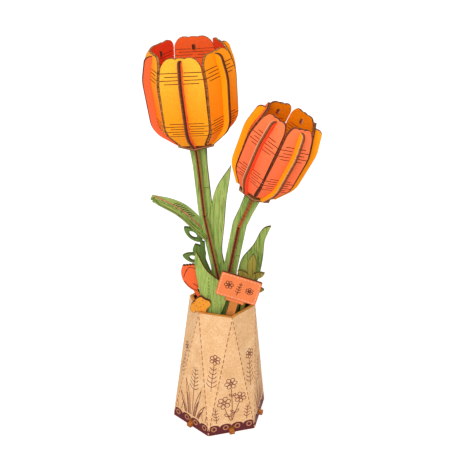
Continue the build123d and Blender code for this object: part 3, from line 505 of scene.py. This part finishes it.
for size, head in tulips.items():
    for count in range(headLook["petals"]):
        angle = headLook["firstPetal"] + head["spin"] + 360 / headLook["petals"] * count
        turned = placed(head["x"], head["z"], head["tilt"], angle)
        petalPly = printedPly(
            f"{size} petal ply {count + 1}", head["outside"][count], head["inside"][count],
            scorch=head["petalScorch"], litTop=head["outsideLitTop"][count], speck=headLook["petalSpeck"],
            backBurn=headLook["petalBackBurn"], **headLook["print"])
        finPly = printedPly(
            f"{size} fin ply {count + 1}", *head["finSides"][count], scorch=head["finScorch"],
            backBurn=headLook["finBackBurn"], **headLook["print"])
        finishSheet(
            f"{size}_tulip_petal_{count + 1}", f"{size}Petal{count + 1}", place=turned, axis=0, sign=1,
            uvAxes=(1, 2), rim=headLook["petalRim"], face=petalPly, edge=f"{size}Petal", widen=petalSpread)
        finishSheet(
            f"{size}_tulip_fin_{count + 1}", f"{size}Fin{count + 1}", place=turned, axis=1, sign=1,
            rim=headLook["finRim"], face=finPly, edge=f"{size}Fin")
    upright = placed(head["x"], head["z"], head["tilt"])
    for plate, name in (("calyx_plate", "CalyxPlate"), ("lower_calyx_plate", "LowerCalyxPlate")):
        finishSheet(f"{size}_tulip_{plate}", size + name, place=upright, axis=2, sign=1, uvAxes=(0, 1),
                    rim=headLook["plateRim"], edge="calyx")
print("flower heads finished")

# Stem board, its ribs and the leaves
stems = {
    "left": {
        "foot": (-1.6, 100.0), "lowerTilt": -12.58, "head": (-16.8, 188.7), "upperTilt": -6.99,
        "upperEdge": "leftRib", "lowerEdge": "leftRib",
    },
    "right": {
        "foot": (3.4, 100.0), "lowerTilt": 8.79, "head": (17.9, 160.2), "upperTilt": 20.97,
        "upperEdge": "rightRib", "lowerEdge": "rightLowRib",
    },
}
armEdge = {"right": -10, "low": 124, "high": 165}  # where the stem board's edge is the arm's, in mm


def onArm(centre):
    return centre.x < armEdge["right"] and armEdge["low"] < centre.z < armEdge["high"]


finishSheet("stem_board", "stemBoard", otherEdge=("arm", onArm))
finishSheet("cross_board", "crossBoard", axis=0, sign=1, uvAxes=(1, 2))
for side, stem in stems.items():
    upper = placed(*stem["head"], stem["upperTilt"])
    lower = placed(*stem["foot"], stem["lowerTilt"])
    for rib, place, edge in (
        ("upper", upper, "upperEdge"), ("front", lower, "lowerEdge"), ("back", lower, "lowerEdge"),
    ):
        finishSheet(f"{side}_{rib}_rib", f"{side}{rib.capitalize()}Rib", place=place, axis=0, sign=1,
                    uvAxes=(1, 2), rim=0.25, edge=stem[edge])
# a lighter copy of the leaf green for the left leaf: painted light
litLeftLeafPly = printedPly(
    "leaf green ply lightened as painted light", "#B4CC6A", "#90AC54", scorch="#553A1E", streak="#64903C", streakStrength=0.7,
    grain=0.14, mottle=0.09)
finishSheet("left_leaf", "leftLeaf", axis=2, sign=1, uvAxes=(1, 0), face=litLeftLeafPly, edge="leaf")
finishSheet("front_leaf", "frontLeaf")
finishSheet("right_leaf", "rightLeaf")
finishSheet("dark_sprig", "darkSprig", rim=0.25, edge="sprig")
finishSheet("olive_sprig", "oliveSprig", rim=0.15, edge="olive")
finishSheet("tulip_bud", "flatBud", rim=0.4)
finishSheet("rim_piece", "rimPiece", rim=0.4)

# Marks on the stems and leaves, as x and z in the front view, in mm
stemMarks = [
    [(-13.0, 159.6), (-9.6, 159.9)],
    [(-8.1, 112.7), (-4.2, 113.9), (-0.9, 114.3)],
    [(7.7, 115.9), (9.9, 116.1)],
    [(-2.7, 115.3), (-0.5, 114.5), (0.8, 110.8)],
]
centreVeins = [
    [(-2.6, 159.0), (-3.3, 151.5), (-2.9, 140.9), (-3.5, 137.8), (-3.2, 123.3)],
    [(-5.5, 153.7), (-6.2, 146.0), (-6.3, 137.6), (-6.2, 128.5), (-5.6, 122.5)],
    [(-0.8, 154.4), (-1.3, 147.6), (-1.1, 138.0), (-1.5, 131.1)],
    [(-7.8, 148.5), (-8.3, 143.4), (-8.1, 135.6), (-8.2, 129.8)],
]
rightVein = [(18.8, 122.6), (19.0, 119.0), (19.3, 115.8), (20.2, 112.9), (20.9, 109.3), (21.9, 105.8)]
budLines = [
    [(-22.7, 97.9), (-19.3, 93.2), (-14.9, 91.9)],
    [(-17.5, 96.6), (-15.6, 96.1), (-14.4, 94.5)],
    [(-22.0, 105.0), (-20.6, 107.6), (-18.2, 108.3), (-16.3, 107.1)],
    [(-23.2, 100.5), (-22.6, 103.6), (-21.4, 105.4)],
]
crease = {"x": -6.8, "low": 82, "dash": 1.6, "pitch": 2.5, "dashes": 10}
creaseStarts = [crease["low"] + crease["pitch"] * i for i in range(crease["dashes"])]
creaseDashes = [[(crease["x"], z), (crease["x"], z + crease["dash"])] for z in creaseStarts]
leafDots = [(0.2, 90.2), (2.6, 90.8), (-0.9, 86.5), (1.5, 86.8), (-3.1, 89.5), (1.2, 84.6)]
rimDots = [
    (-15.8, 87.8), (-14.0, 86.5), (-12.1, 88.9), (-10.3, 90.5), (-8.5, 92.2), (-6.7, 91.7),
    (-12.7, 85.2), (-9.7, 87.8), (-11.4, 86.2), (-8.1, 89.8), (-14.6, 89.4),
]


def dotStrokes(dots, across, up):
    # each dot is a stroke hardly longer than its width
    return [[(x, z), (x + across, z + up)] for x, z in dots]


for name, node, strokes, width, ink in (
    ("stemMarks", "stem_board", stemMarks, 0.5, "green"),
    ("centreLeafVeins", "stem_board", centreVeins, 0.32, "vein"),
    ("rightLeafVein", "right_leaf", [rightVein], 0.42, "vein"),
    ("frontLeafCrease", "front_leaf", creaseDashes, 0.42, "green"),
    ("frontLeafDots", "front_leaf", dotStrokes(leafDots, 0.5, 0.1), 0.7, "red"),
    ("budLines", "tulip_bud", budLines, 0.5, "dark"),
    ("rimPieceDots", "rim_piece", dotStrokes(rimDots, 0.6, 0.5), 0.55, "rust"),
):
    drawInk(name, node, fromFront(node, strokes), width, ink)
print("stems and leaves finished")

# Vase: six foot facets stand point up between six mouth facets point down. Lengths in mm.
vase = {
    "turn": -94.8, "height": 83.0, "footRadius": 31.0, "mouthRadius": 20.8,
    "facetDepth": 0.25,  # a face this near a facet's plane is part of it
    "facetFacing": 0.98,
    "level": 0.9,  # a face whose normal rises more than this is a level edge
    "onAxis": 0.001,  # a face this near the axis has no outward side
    "rim": 0.45, "collarRim": 0.3,
    "cloud": 9,  # size of the print's clouds, which run through these colours
    "clouds": [(0.3, "#E3B07B"), (0.5, "#EBBA87"), (0.7, "#F2C796")],
    "speck": 0.9, "speckDark": 0.81, "speckLight": 1.13,
    # inside: a dark brown that is painted shade within the vase
    "inside": "#4A2A1A", "scorch": "#B87434", "scorchStrength": 0.85,
    "dash": 2.4, "dashPitch": 3.8, "dashHalfWidth": 0.36, "dashColour": "#9C5C38", "dashOnBand": "#D89A6A",
    "bandHeight": 5.0, "bandColour": "#5E242A", "bandBlur": 0.15,
    "scallopRise": 2.3, "scallopPitch": 31.0 / 4,
    "ringHeight": 4.4, "ringRadius": 1.5, "ringHalfWidth": 0.35, "ringColour": "#C08058",
    "lineStart": 0.7, "lineEnd": 1.3,  # a line fades between these shares of its half width
    "roughness": 0.7,
}


def vaseCorner(ring, count):
    radius, z = (vase["footRadius"], 0.0) if ring == "low" else (vase["mouthRadius"], vase["height"])
    angle = math.radians(vase["turn"] + 60 * count + (0 if ring == "low" else 30))
    return Vector((radius * math.cos(angle), radius * math.sin(angle), z)) * mm


def vaseFacet(kind, count):
    # corners left, right and tip, and the facet's own frame: x along its edge, y up, z outwards
    if kind == "foot":
        left, right = vaseCorner("low", count), vaseCorner("low", count + 1)
        tip = vaseCorner("high", count)
        origin, end = (left + right) / 2, tip
    else:
        left, right = vaseCorner("high", count - 1), vaseCorner("high", count)
        tip = vaseCorner("low", count)
        origin, end = tip, (left + right) / 2
    along = (right - left).normalized()
    rise = (end - origin).normalized()
    turn = Matrix((along, rise, along.cross(rise))).transposed().to_4x4()
    facetFrame = Matrix.Translation(origin) @ turn
    return {"kind": kind, "left": left, "right": right, "tip": tip, "frame": facetFrame}


vaseFacets = [vaseFacet(kind, count) for kind in ("foot", "mouth") for count in range(6)]


def facetOf(f):
    found = None
    for facet in vaseFacets:
        local = facet["frame"].inverted() @ f.calc_center_median()
        outwards = facet["frame"].col[2].to_3d()
        if abs(local.z) < vase["facetDepth"] * mm and f.normal.dot(outwards) > vase["facetFacing"]:
            found = facet
    return found


def mapVaseFacets(bm):
    # facet: place along and above the foot's edge; fold: distance from both folds; foldRun: way along each
    facetMap, foldMap, runMap = (bm.loops.layers.uv.new(name) for name in ("facet", "fold", "foldRun"))
    mapped = 0
    for f in bm.faces:
        facet = facetOf(f)
        mapped += facet is not None
        for loop in f.loops:
            loop[facetMap].uv = (0, 1)
            loop[foldMap].uv = (1, 1)
            if not facet:
                continue
            local = facet["frame"].inverted() @ loop.vert.co
            start = (facet["left"] - facet["right"]).length / 2
            loop[facetMap].uv = (local.x + start if facet["kind"] == "foot" else 0, local.y)
            distances, runs = [], []
            for corner in (facet["left"], facet["right"]):
                low, high = sorted((corner, facet["tip"]), key=lambda p: p.z)
                along = (high - low).normalized()
                offset = loop.vert.co - low
                runs.append(offset.dot(along))
                distances.append((offset - along * offset.dot(along)).length)
            loop[foldMap].uv = distances
            loop[runMap].uv = runs
    print("vase facets mapped:", mapped)


def vasePly(name):
    # Warm kraft print on birch ply. To the eye: cloudy sand colour with fine specks, dashed folds and a
    # dark scalloped band at the foot; the inside is painted dark brown as shade.
    material = newMaterial(name)
    tree = material.node_tree
    layer = addNode(tree, "Attribute", attribute_name="layer").outputs["Fac"]
    place = addNode(tree, "TexCoord").outputs["Object"]
    clouds = addNode(tree, "TexNoise", {
        "Vector": place, "Scale": 1 / (vase["cloud"] * mm), "Detail": 3.0, "Roughness": 0.65})
    specks = addNode(tree, "TexNoise", {
        "Vector": place, "Scale": 1 / (vase["speck"] * mm), "Detail": 2.0, "Roughness": 0.6})
    cloudy = addNode(tree, "ValToRGB", {"Fac": clouds}, ramp=vase["clouds"])
    speckShade = addNode(tree, "MapRange", {
        "Value": specks, **ranges["noise"], "To Min": vase["speckDark"], "To Max": vase["speckLight"]})
    toned = addNode(tree, "HueSaturation", {"Value": speckShade, "Color": cloudy})

    # band: swing runs from -1 to 1 over each scallop, whose top is half an ellipse
    bandPlace = addNode(tree, "SeparateXYZ", {0: addNode(tree, "UVMap", uv_map="facet")})
    across = addNode(tree, "Math", {0: bandPlace, 1: vase["scallopPitch"] * mm}, operation="DIVIDE")
    cycle = addNode(tree, "Math", {0: across}, operation="FRACT")
    swing = addNode(tree, "Math", {0: cycle, 1: 2.0, 2: -1.0}, operation="MULTIPLY_ADD")
    square = addNode(tree, "Math", {0: swing, 1: swing}, operation="MULTIPLY")
    rest = addNode(tree, "Math", {0: 1.0, 1: square}, operation="SUBTRACT")
    arch = addNode(tree, "Math", {0: rest}, operation="SQRT")
    scallop = addNode(tree, "Math", {
        0: arch, 1: vase["scallopRise"] * mm, 2: vase["bandHeight"] * mm}, operation="MULTIPLY_ADD")
    height = bandPlace.outputs["Y"]
    above = addNode(tree, "Math", {0: height, 1: scallop}, operation="SUBTRACT")
    blur = vase["bandBlur"] * mm
    band = addNode(tree, "MapRange", {
        "Value": above, "From Min": -blur, "From Max": blur, "To Min": 1.0, "To Max": 0.0})

    # a ring under each scallop
    ringAcross = addNode(tree, "Math", {0: swing, 1: vase["scallopPitch"] * mm / 2}, operation="MULTIPLY")
    ringUp = addNode(tree, "Math", {0: height, 1: vase["ringHeight"] * mm}, operation="SUBTRACT")
    ringPlace = addNode(tree, "CombineXYZ", {0: ringAcross, 1: ringUp})
    ringReach = addNode(tree, "VectorMath", {0: ringPlace}, operation="LENGTH").outputs["Value"]
    ringOff = addNode(tree, "Math", {0: ringReach, 1: vase["ringRadius"] * mm}, operation="SUBTRACT")
    ringGap = addNode(tree, "Math", {0: ringOff}, operation="ABSOLUTE")
    ring = addNode(tree, "MapRange", {
        "Value": ringGap, "From Min": vase["ringHalfWidth"] * vase["lineStart"] * mm,
        "From Max": vase["ringHalfWidth"] * vase["lineEnd"] * mm, "To Min": 1.0, "To Max": 0.0})
    bandColour = addNode(tree, "Mix", {
        0: ring, 6: vase["bandColour"], 7: vase["ringColour"]}, data_type="RGBA")
    toned = addNode(tree, "Mix", {0: band, 6: toned, 7: bandColour}, data_type="RGBA")

    # dashes along both folds of a facet
    fold = addNode(tree, "SeparateXYZ", {0: addNode(tree, "UVMap", uv_map="fold")})
    run = addNode(tree, "SeparateXYZ", {0: addNode(tree, "UVMap", uv_map="foldRun")})
    dashes = []
    for side in ("X", "Y"):
        near = addNode(tree, "MapRange", {
            "Value": fold.outputs[side], "From Min": vase["dashHalfWidth"] * vase["lineStart"] * mm,
            "From Max": vase["dashHalfWidth"] * vase["lineEnd"] * mm, "To Min": 1.0, "To Max": 0.0})
        step = addNode(tree, "Math", {0: run.outputs[side], 1: vase["dashPitch"] * mm}, operation="MODULO")
        on = addNode(tree, "Math", {0: step, 1: vase["dash"] * mm}, operation="LESS_THAN")
        dashes.append(addNode(tree, "Math", {0: near, 1: on}, operation="MULTIPLY"))
    dashed = addNode(tree, "Math", {0: dashes[0], 1: dashes[1]}, operation="MAXIMUM")
    dashColour = addNode(tree, "Mix", {
        0: band, 6: vase["dashColour"], 7: vase["dashOnBand"]}, data_type="RGBA")
    toned = addNode(tree, "Mix", {0: dashed, 6: toned, 7: dashColour}, data_type="RGBA")

    # the inside face is painted dark brown, as painted shade
    inside = addNode(tree, "MapRange", {"Value": layer, **ranges["side"], "To Min": 1.0, "To Max": 0.0})
    toned = addNode(tree, "Mix", {0: inside, 6: toned, 7: vase["inside"]}, data_type="RGBA")
    toned = scorched(tree, toned, specks, vase["scorch"], vase["scorchStrength"])
    finishMaterial(tree, toned, vase["roughness"], specks, plyLook)
    return material


def outward(f):
    # 1 on the vase's outside, -1 on its inside and 0 on its level edges
    centre = f.calc_center_median()
    flat = Vector((centre.x, centre.y, 0))
    if abs(f.normal.z) > vase["level"] or flat.length < vase["onAxis"] * mm:
        return 0
    return f.normal.dot(flat.normalized())


finishSheet("vase_sleeve", "vaseSleeve", facing=outward, rim=vase["rim"],
            face=vasePly("kraft-printed vase ply"), edge="rim", mapFace=mapVaseFacets)
finishSheet("base_plate", "basePlate", axis=2, sign=1, uvAxes=(0, 1), edge="base",
            face=plyFinishes["bare_ply"])
finishSheet("collar_plate", "collarPlate", axis=2, sign=1, uvAxes=(0, 1), rim=vase["collarRim"])

# Engraved plants, in shares of their own length or radius
frondShape = {
    "bow": 1.6,  # the power by which a stem leans more towards its tip
    "middle": 0.2, "leaflet": 0.2, "taper": 0.55, "knee": (0.7, 0.2), "tip": (1.0, 0.8),
}
bladeShape = {"foot": 0.3, "belly": 0.6, "lean": 0.25, "shading": (-0.16, 0.14), "shadingTop": 0.74}
blossomShape = {
    "petals": 6,
    "petal": ((0.25, 0), (0.55, 0.4), (1.0, 0.24), (1.08, 0), (1.0, -0.24), (0.55, -0.4), (0.25, 0)),
    "eye": 0.2, "eyeSteps": 8,
}
leafShape = {"line": ((0, 0), (0.5, 0.3), (1, 0.1), (0.55, -0.22), (0, 0)), "out": 0.8, "up": 0.6}


def frond(x, y, length, lean, leaflets):
    # a bowed stem with a pair of leaflets at each step
    strokes = [[(x, y), (x + lean * frondShape["middle"], y + length * 0.5), (x + lean, y + length)]]
    for step in range(leaflets):
        share = (step + 1) / (leaflets + 1)
        footX, footY = x + lean * share ** frondShape["bow"], y + length * share
        reach = length * frondShape["leaflet"] * (1 - share * frondShape["taper"])
        for way in (-1, 1):
            bends = [(footX + way * reach * out, footY + reach * up)
                     for out, up in (frondShape["knee"], frondShape["tip"])]
            strokes.append([(footX, footY)] + bends)
    return strokes


def blade(x, y, length, lean, width):
    # a long pointed leaf with two lines of shading
    bend = lean * bladeShape["lean"]
    strokes = []
    for way in (-1, 1):
        strokes.append([
            (x + way * width * bladeShape["foot"], y),
            (x + way * width * bladeShape["belly"] + bend, y + length * 0.5),
            (x + lean, y + length),
        ])
    for share in bladeShape["shading"]:
        strokes.append([
            (x + share * width, y),
            (x + share * width + bend, y + length * 0.45),
            (x + lean * 0.72 + share * width * 0.5, y + length * (bladeShape["shadingTop"] - abs(share))),
        ])
    return strokes


def loopAt(x, y, radius, out, across, outline):
    return [(x + radius * (a * out[0] + b * across[0]), y + radius * (a * out[1] + b * across[1]))
            for a, b in outline]


def blossom(x, y, radius, turn):
    strokes = []
    for count in range(blossomShape["petals"]):
        angle = turn + math.tau * count / blossomShape["petals"]
        out, across = (math.cos(angle), math.sin(angle)), (-math.sin(angle), math.cos(angle))
        strokes.append(loopAt(x, y, radius, out, across, blossomShape["petal"]))
    angles = [math.tau * i / blossomShape["eyeSteps"] for i in range(blossomShape["eyeSteps"] + 1)]
    size = blossomShape["eye"]
    eye = [(size * math.cos(angle), size * math.sin(angle)) for angle in angles]
    return strokes + [loopAt(x, y, radius, (1, 0), (0, 1), eye)]


def leafPair(x, y, size):
    out, up = leafShape["out"], leafShape["up"]
    return [loopAt(x, y, size, (way * out, up), (-way * up, out), leafShape["line"]) for way in (-1, 1)]


# Engraving of each facet, in mm from the facet's own origin
engraving = {"width": 0.56, "ink": "brown"}
flowerStems = [
    [(-0.6, 9.0), (-3.2, 14.0), (-4.6, 19.5)],
    [(0.2, 9.0), (2.6, 16.0), (5.0, 22.5)],
    [(0.0, 9.0), (0.8, 22.0), (-0.4, 33.0)],
]
flowerFacet = (
    flowerStems
    + blossom(-5.0, 23.0, 4.2, 0.3) + blossom(5.6, 25.6, 3.6, 0.7) + blossom(-0.6, 36.6, 3.8, 0.1)
    + leafPair(-1.6, 12.0, 4.5) + leafPair(2.0, 14.5, 4.0) + leafPair(0.4, 27.0, 3.4)
    + frond(-10.0, 8.6, 11.0, -0.8, 4) + frond(10.0, 8.6, 11.0, 0.8, 4)
)
grassStem = [(0.2, 8.6), (0.5, 16.0), (0.4, 25.0)]
tuftFeet = ((-12.0, -1.0), (-9.0, 1.2), (9.6, -1.2), (12.0, 0.8))  # place of a foot and lean of its tip
tufts = [[(x, 8.4), (x + lean * 0.4, 11.5), (x + lean, 14.0)] for x, lean in tuftFeet]
grassFacet = (
    [grassStem] + frond(0.4, 25.0, 20.0, 0.6, 6)
    + blade(-2.0, 8.2, 25.0, -4.6, 3.0) + blade(2.2, 8.2, 22.0, 4.6, 2.8)
    + blade(-5.0, 8.2, 14.0, -5.6, 2.4) + blade(5.4, 8.2, 12.0, 5.4, 2.3)
    + tufts
)
sprigFacet = frond(0.0, 32.0, 18.0, 1.0, 5) + blossom(1.4, 54.0, 3.2, 0.5)
facetArt = {"foot": [flowerFacet, grassFacet] * 3, "mouth": [sprigFacet] * 6}
for kind, byFacet in facetArt.items():
    for count, strokes in enumerate(byFacet):
        place = vaseFacet(kind, count)["frame"]
        points = [[place @ Vector((x * mm, y * mm, 0)) for x, y in stroke] for stroke in strokes]
        drawInk(f"{kind}Engraving{count + 1}", "vase_sleeve", points, engraving["width"], engraving["ink"])
print("vase finished")

# Card: printed border, two blossoms and a sprig, a striped strip and the bare pick. Lengths in mm.
cardLook = {
    "x": 11.8, "z": 102.6, "tilt": 13.6, "width": 25.0, "height": 16.4, "rim": 0.25,
    "inset": 1.1, "dash": 1.3, "pitch": 2.1, "borderWidth": 0.4,
    "sprigWidth": 0.45, "stripeWidth": 0.35,
}
cardPlace = Matrix.Rotation(math.radians(cardLook["tilt"]), 4, "Y")
for node, name in (("card", "card"), ("card_strip", "cardStrip"), ("card_pick", "cardPick")):
    finishSheet(node, name, body="card", place=cardPlace, rim=cardLook["rim"])


def onCard(strokes):
    # strokes measured from the card's middle, turned with it
    lean = math.radians(cardLook["tilt"])
    cosine, sine = math.cos(lean), math.sin(lean)
    return [[(cardLook["x"] + x * cosine + z * sine, cardLook["z"] - x * sine + z * cosine)
             for x, z in stroke] for stroke in strokes]


def dashRow(half):
    # start and end of each dash between -half and half
    count = int(2 * half / cardLook["pitch"]) + 1
    starts = [-half + i * cardLook["pitch"] for i in range(count)]
    return [(start, start + cardLook["dash"]) for start in starts]


halfWidth = cardLook["width"] / 2 - cardLook["inset"]
halfHeight = cardLook["height"] / 2 - cardLook["inset"]
border = []
for level in (-halfHeight, halfHeight):
    border += [[(start, level), (end, level)] for start, end in dashRow(halfWidth)]
for edgeX in (-halfWidth, halfWidth):
    border += [[(edgeX, start), (edgeX, end)] for start, end in dashRow(halfHeight)]
cardSprig = blossom(-6.2, 0.6, 2.6, 0.2) + blossom(6.6, 0.2, 2.2, 0.6) + frond(0.0, -5.0, 9.5, 0.6, 4)
stripes = [[(x, -9.0), (x + 1.2, -7.9)] for x in (-4.0, -2.4, -0.8, 0.8, 2.4)]
for name, node, strokes, width, ink in (
    ("cardBorder", "card", border, cardLook["borderWidth"], "pale"),
    ("cardSprig", "card", cardSprig, cardLook["sprigWidth"], "dark"),
    ("stripStripes", "card_strip", stripes, cardLook["stripeWidth"], "pale"),
):
    drawInk(name, node, fromFront(node, onCard(strokes)), width, ink, body="card")
print("card finished")

# Floor and light
studio = {
    "world": 0.69,
    "key": 15.4, "keyPlace": (-0.08, -1.35, 1.15), "keySize": 1.0, "keyAim": (0, 0, 0.14),
    "floorGlow": 0.5, "floorGrey": 0.8, "floorHalf": 3.0,
}
floorMesh = bpy.data.meshes.new("floor")
bm = bmesh.new()
bmesh.ops.create_grid(bm, x_segments=1, y_segments=1, size=studio["floorHalf"])
bm.to_mesh(floorMesh)
bm.free()
floor = bpy.data.objects.new("floor", floorMesh)
scene.collection.objects.link(floor)


def seenDirectly(tree):
    # 1 for what the camera sees itself, in gloss or through glass
    ray = addNode(tree, "LightPath")
    seen = addNode(tree, "Math", {
        0: ray.outputs["Is Camera Ray"], 1: ray.outputs["Is Glossy Ray"]}, operation="MAXIMUM")
    return addNode(tree, "Math", {0: seen, 1: ray.outputs["Is Transmission Ray"]}, operation="MAXIMUM")


# Painted board, matt. To the eye: plain white, as a glow that only the camera sees lifts its light grey.
floorPaint = newMaterial("matt white studio board")
tree = floorPaint.node_tree
lift = addNode(tree, "Math", {0: seenDirectly(tree), 1: studio["floorGlow"]}, operation="MULTIPLY")
grey = studio["floorGrey"]
matt = addNode(tree, "BsdfDiffuse", {"Color": (grey, grey, grey, 1.0)})
glow = addNode(tree, "Emission", {"Color": (1, 1, 1, 1), "Strength": lift})
joined = addNode(tree, "AddShader", {0: matt, 1: glow})
addNode(tree, "OutputMaterial", {"Surface": joined})
floorMesh.materials.append(floorPaint)

world = bpy.data.worlds.new("studio")
world.use_nodes = True
world.node_tree.nodes.clear()
scene.world = world
tree = world.node_tree
soft = addNode(tree, "Background", {"Color": (1, 1, 1, 1), "Strength": studio["world"]})
white = addNode(tree, "Background", {"Color": (1, 1, 1, 1), "Strength": 1.0})
chosen = addNode(tree, "MixShader", {0: seenDirectly(tree), 1: soft, 2: white})
addNode(tree, "OutputWorld", {"Surface": chosen})

keyData = bpy.data.lights.new("keyLamp", "AREA")
keyData.shape = "DISK"
keyData.size = studio["keySize"]
keyData.energy = studio["key"]
keyLamp = bpy.data.objects.new("keyLamp", keyData)
scene.collection.objects.link(keyLamp)
keyLamp.location = studio["keyPlace"]
keyLamp.rotation_mode = "QUATERNION"
keyAway = Vector(studio["keyPlace"]) - Vector(studio["keyAim"])
keyLamp.rotation_quaternion = keyAway.to_track_quat("Z", "Y")

# Camera at the photograph's angle. Angles in degrees, lengths in mm.
shot = {
    "azimuth": 7.63, "elevation": 28.25, "roll": 1.54,
    "distance": 594.0, "side": 0.39, "height": 135.64,
    "lens": 80.0, "sensor": 36.0, "near": 10, "far": 20000,
}
azimuth, elevation, roll = (math.radians(shot[angle]) for angle in ("azimuth", "elevation", "roll"))
right = Vector((math.cos(azimuth), math.sin(azimuth), 0))
back = Vector((
    math.sin(azimuth) * math.cos(elevation), -math.cos(azimuth) * math.cos(elevation), math.sin(elevation)))
up = back.cross(right)
rolledRight = math.cos(roll) * right + math.sin(roll) * up
rolledUp = -math.sin(roll) * right + math.cos(roll) * up
aim = right * shot["side"] * mm + Vector((0, 0, shot["height"] * mm))
cameraData = bpy.data.cameras.new("camera")
cameraData.lens = shot["lens"]
cameraData.sensor_width = shot["sensor"]
cameraData.clip_start = shot["near"] * mm
cameraData.clip_end = shot["far"] * mm
camera = bpy.data.objects.new("camera", cameraData)
scene.collection.objects.link(camera)
turn = Matrix((rolledRight, rolledUp, back)).transposed().to_4x4()
camera.matrix_world = Matrix.Translation(aim + back * shot["distance"] * mm) @ turn
scene.camera = camera
print("studio ready")

scene.view_settings.view_transform = "Standard"
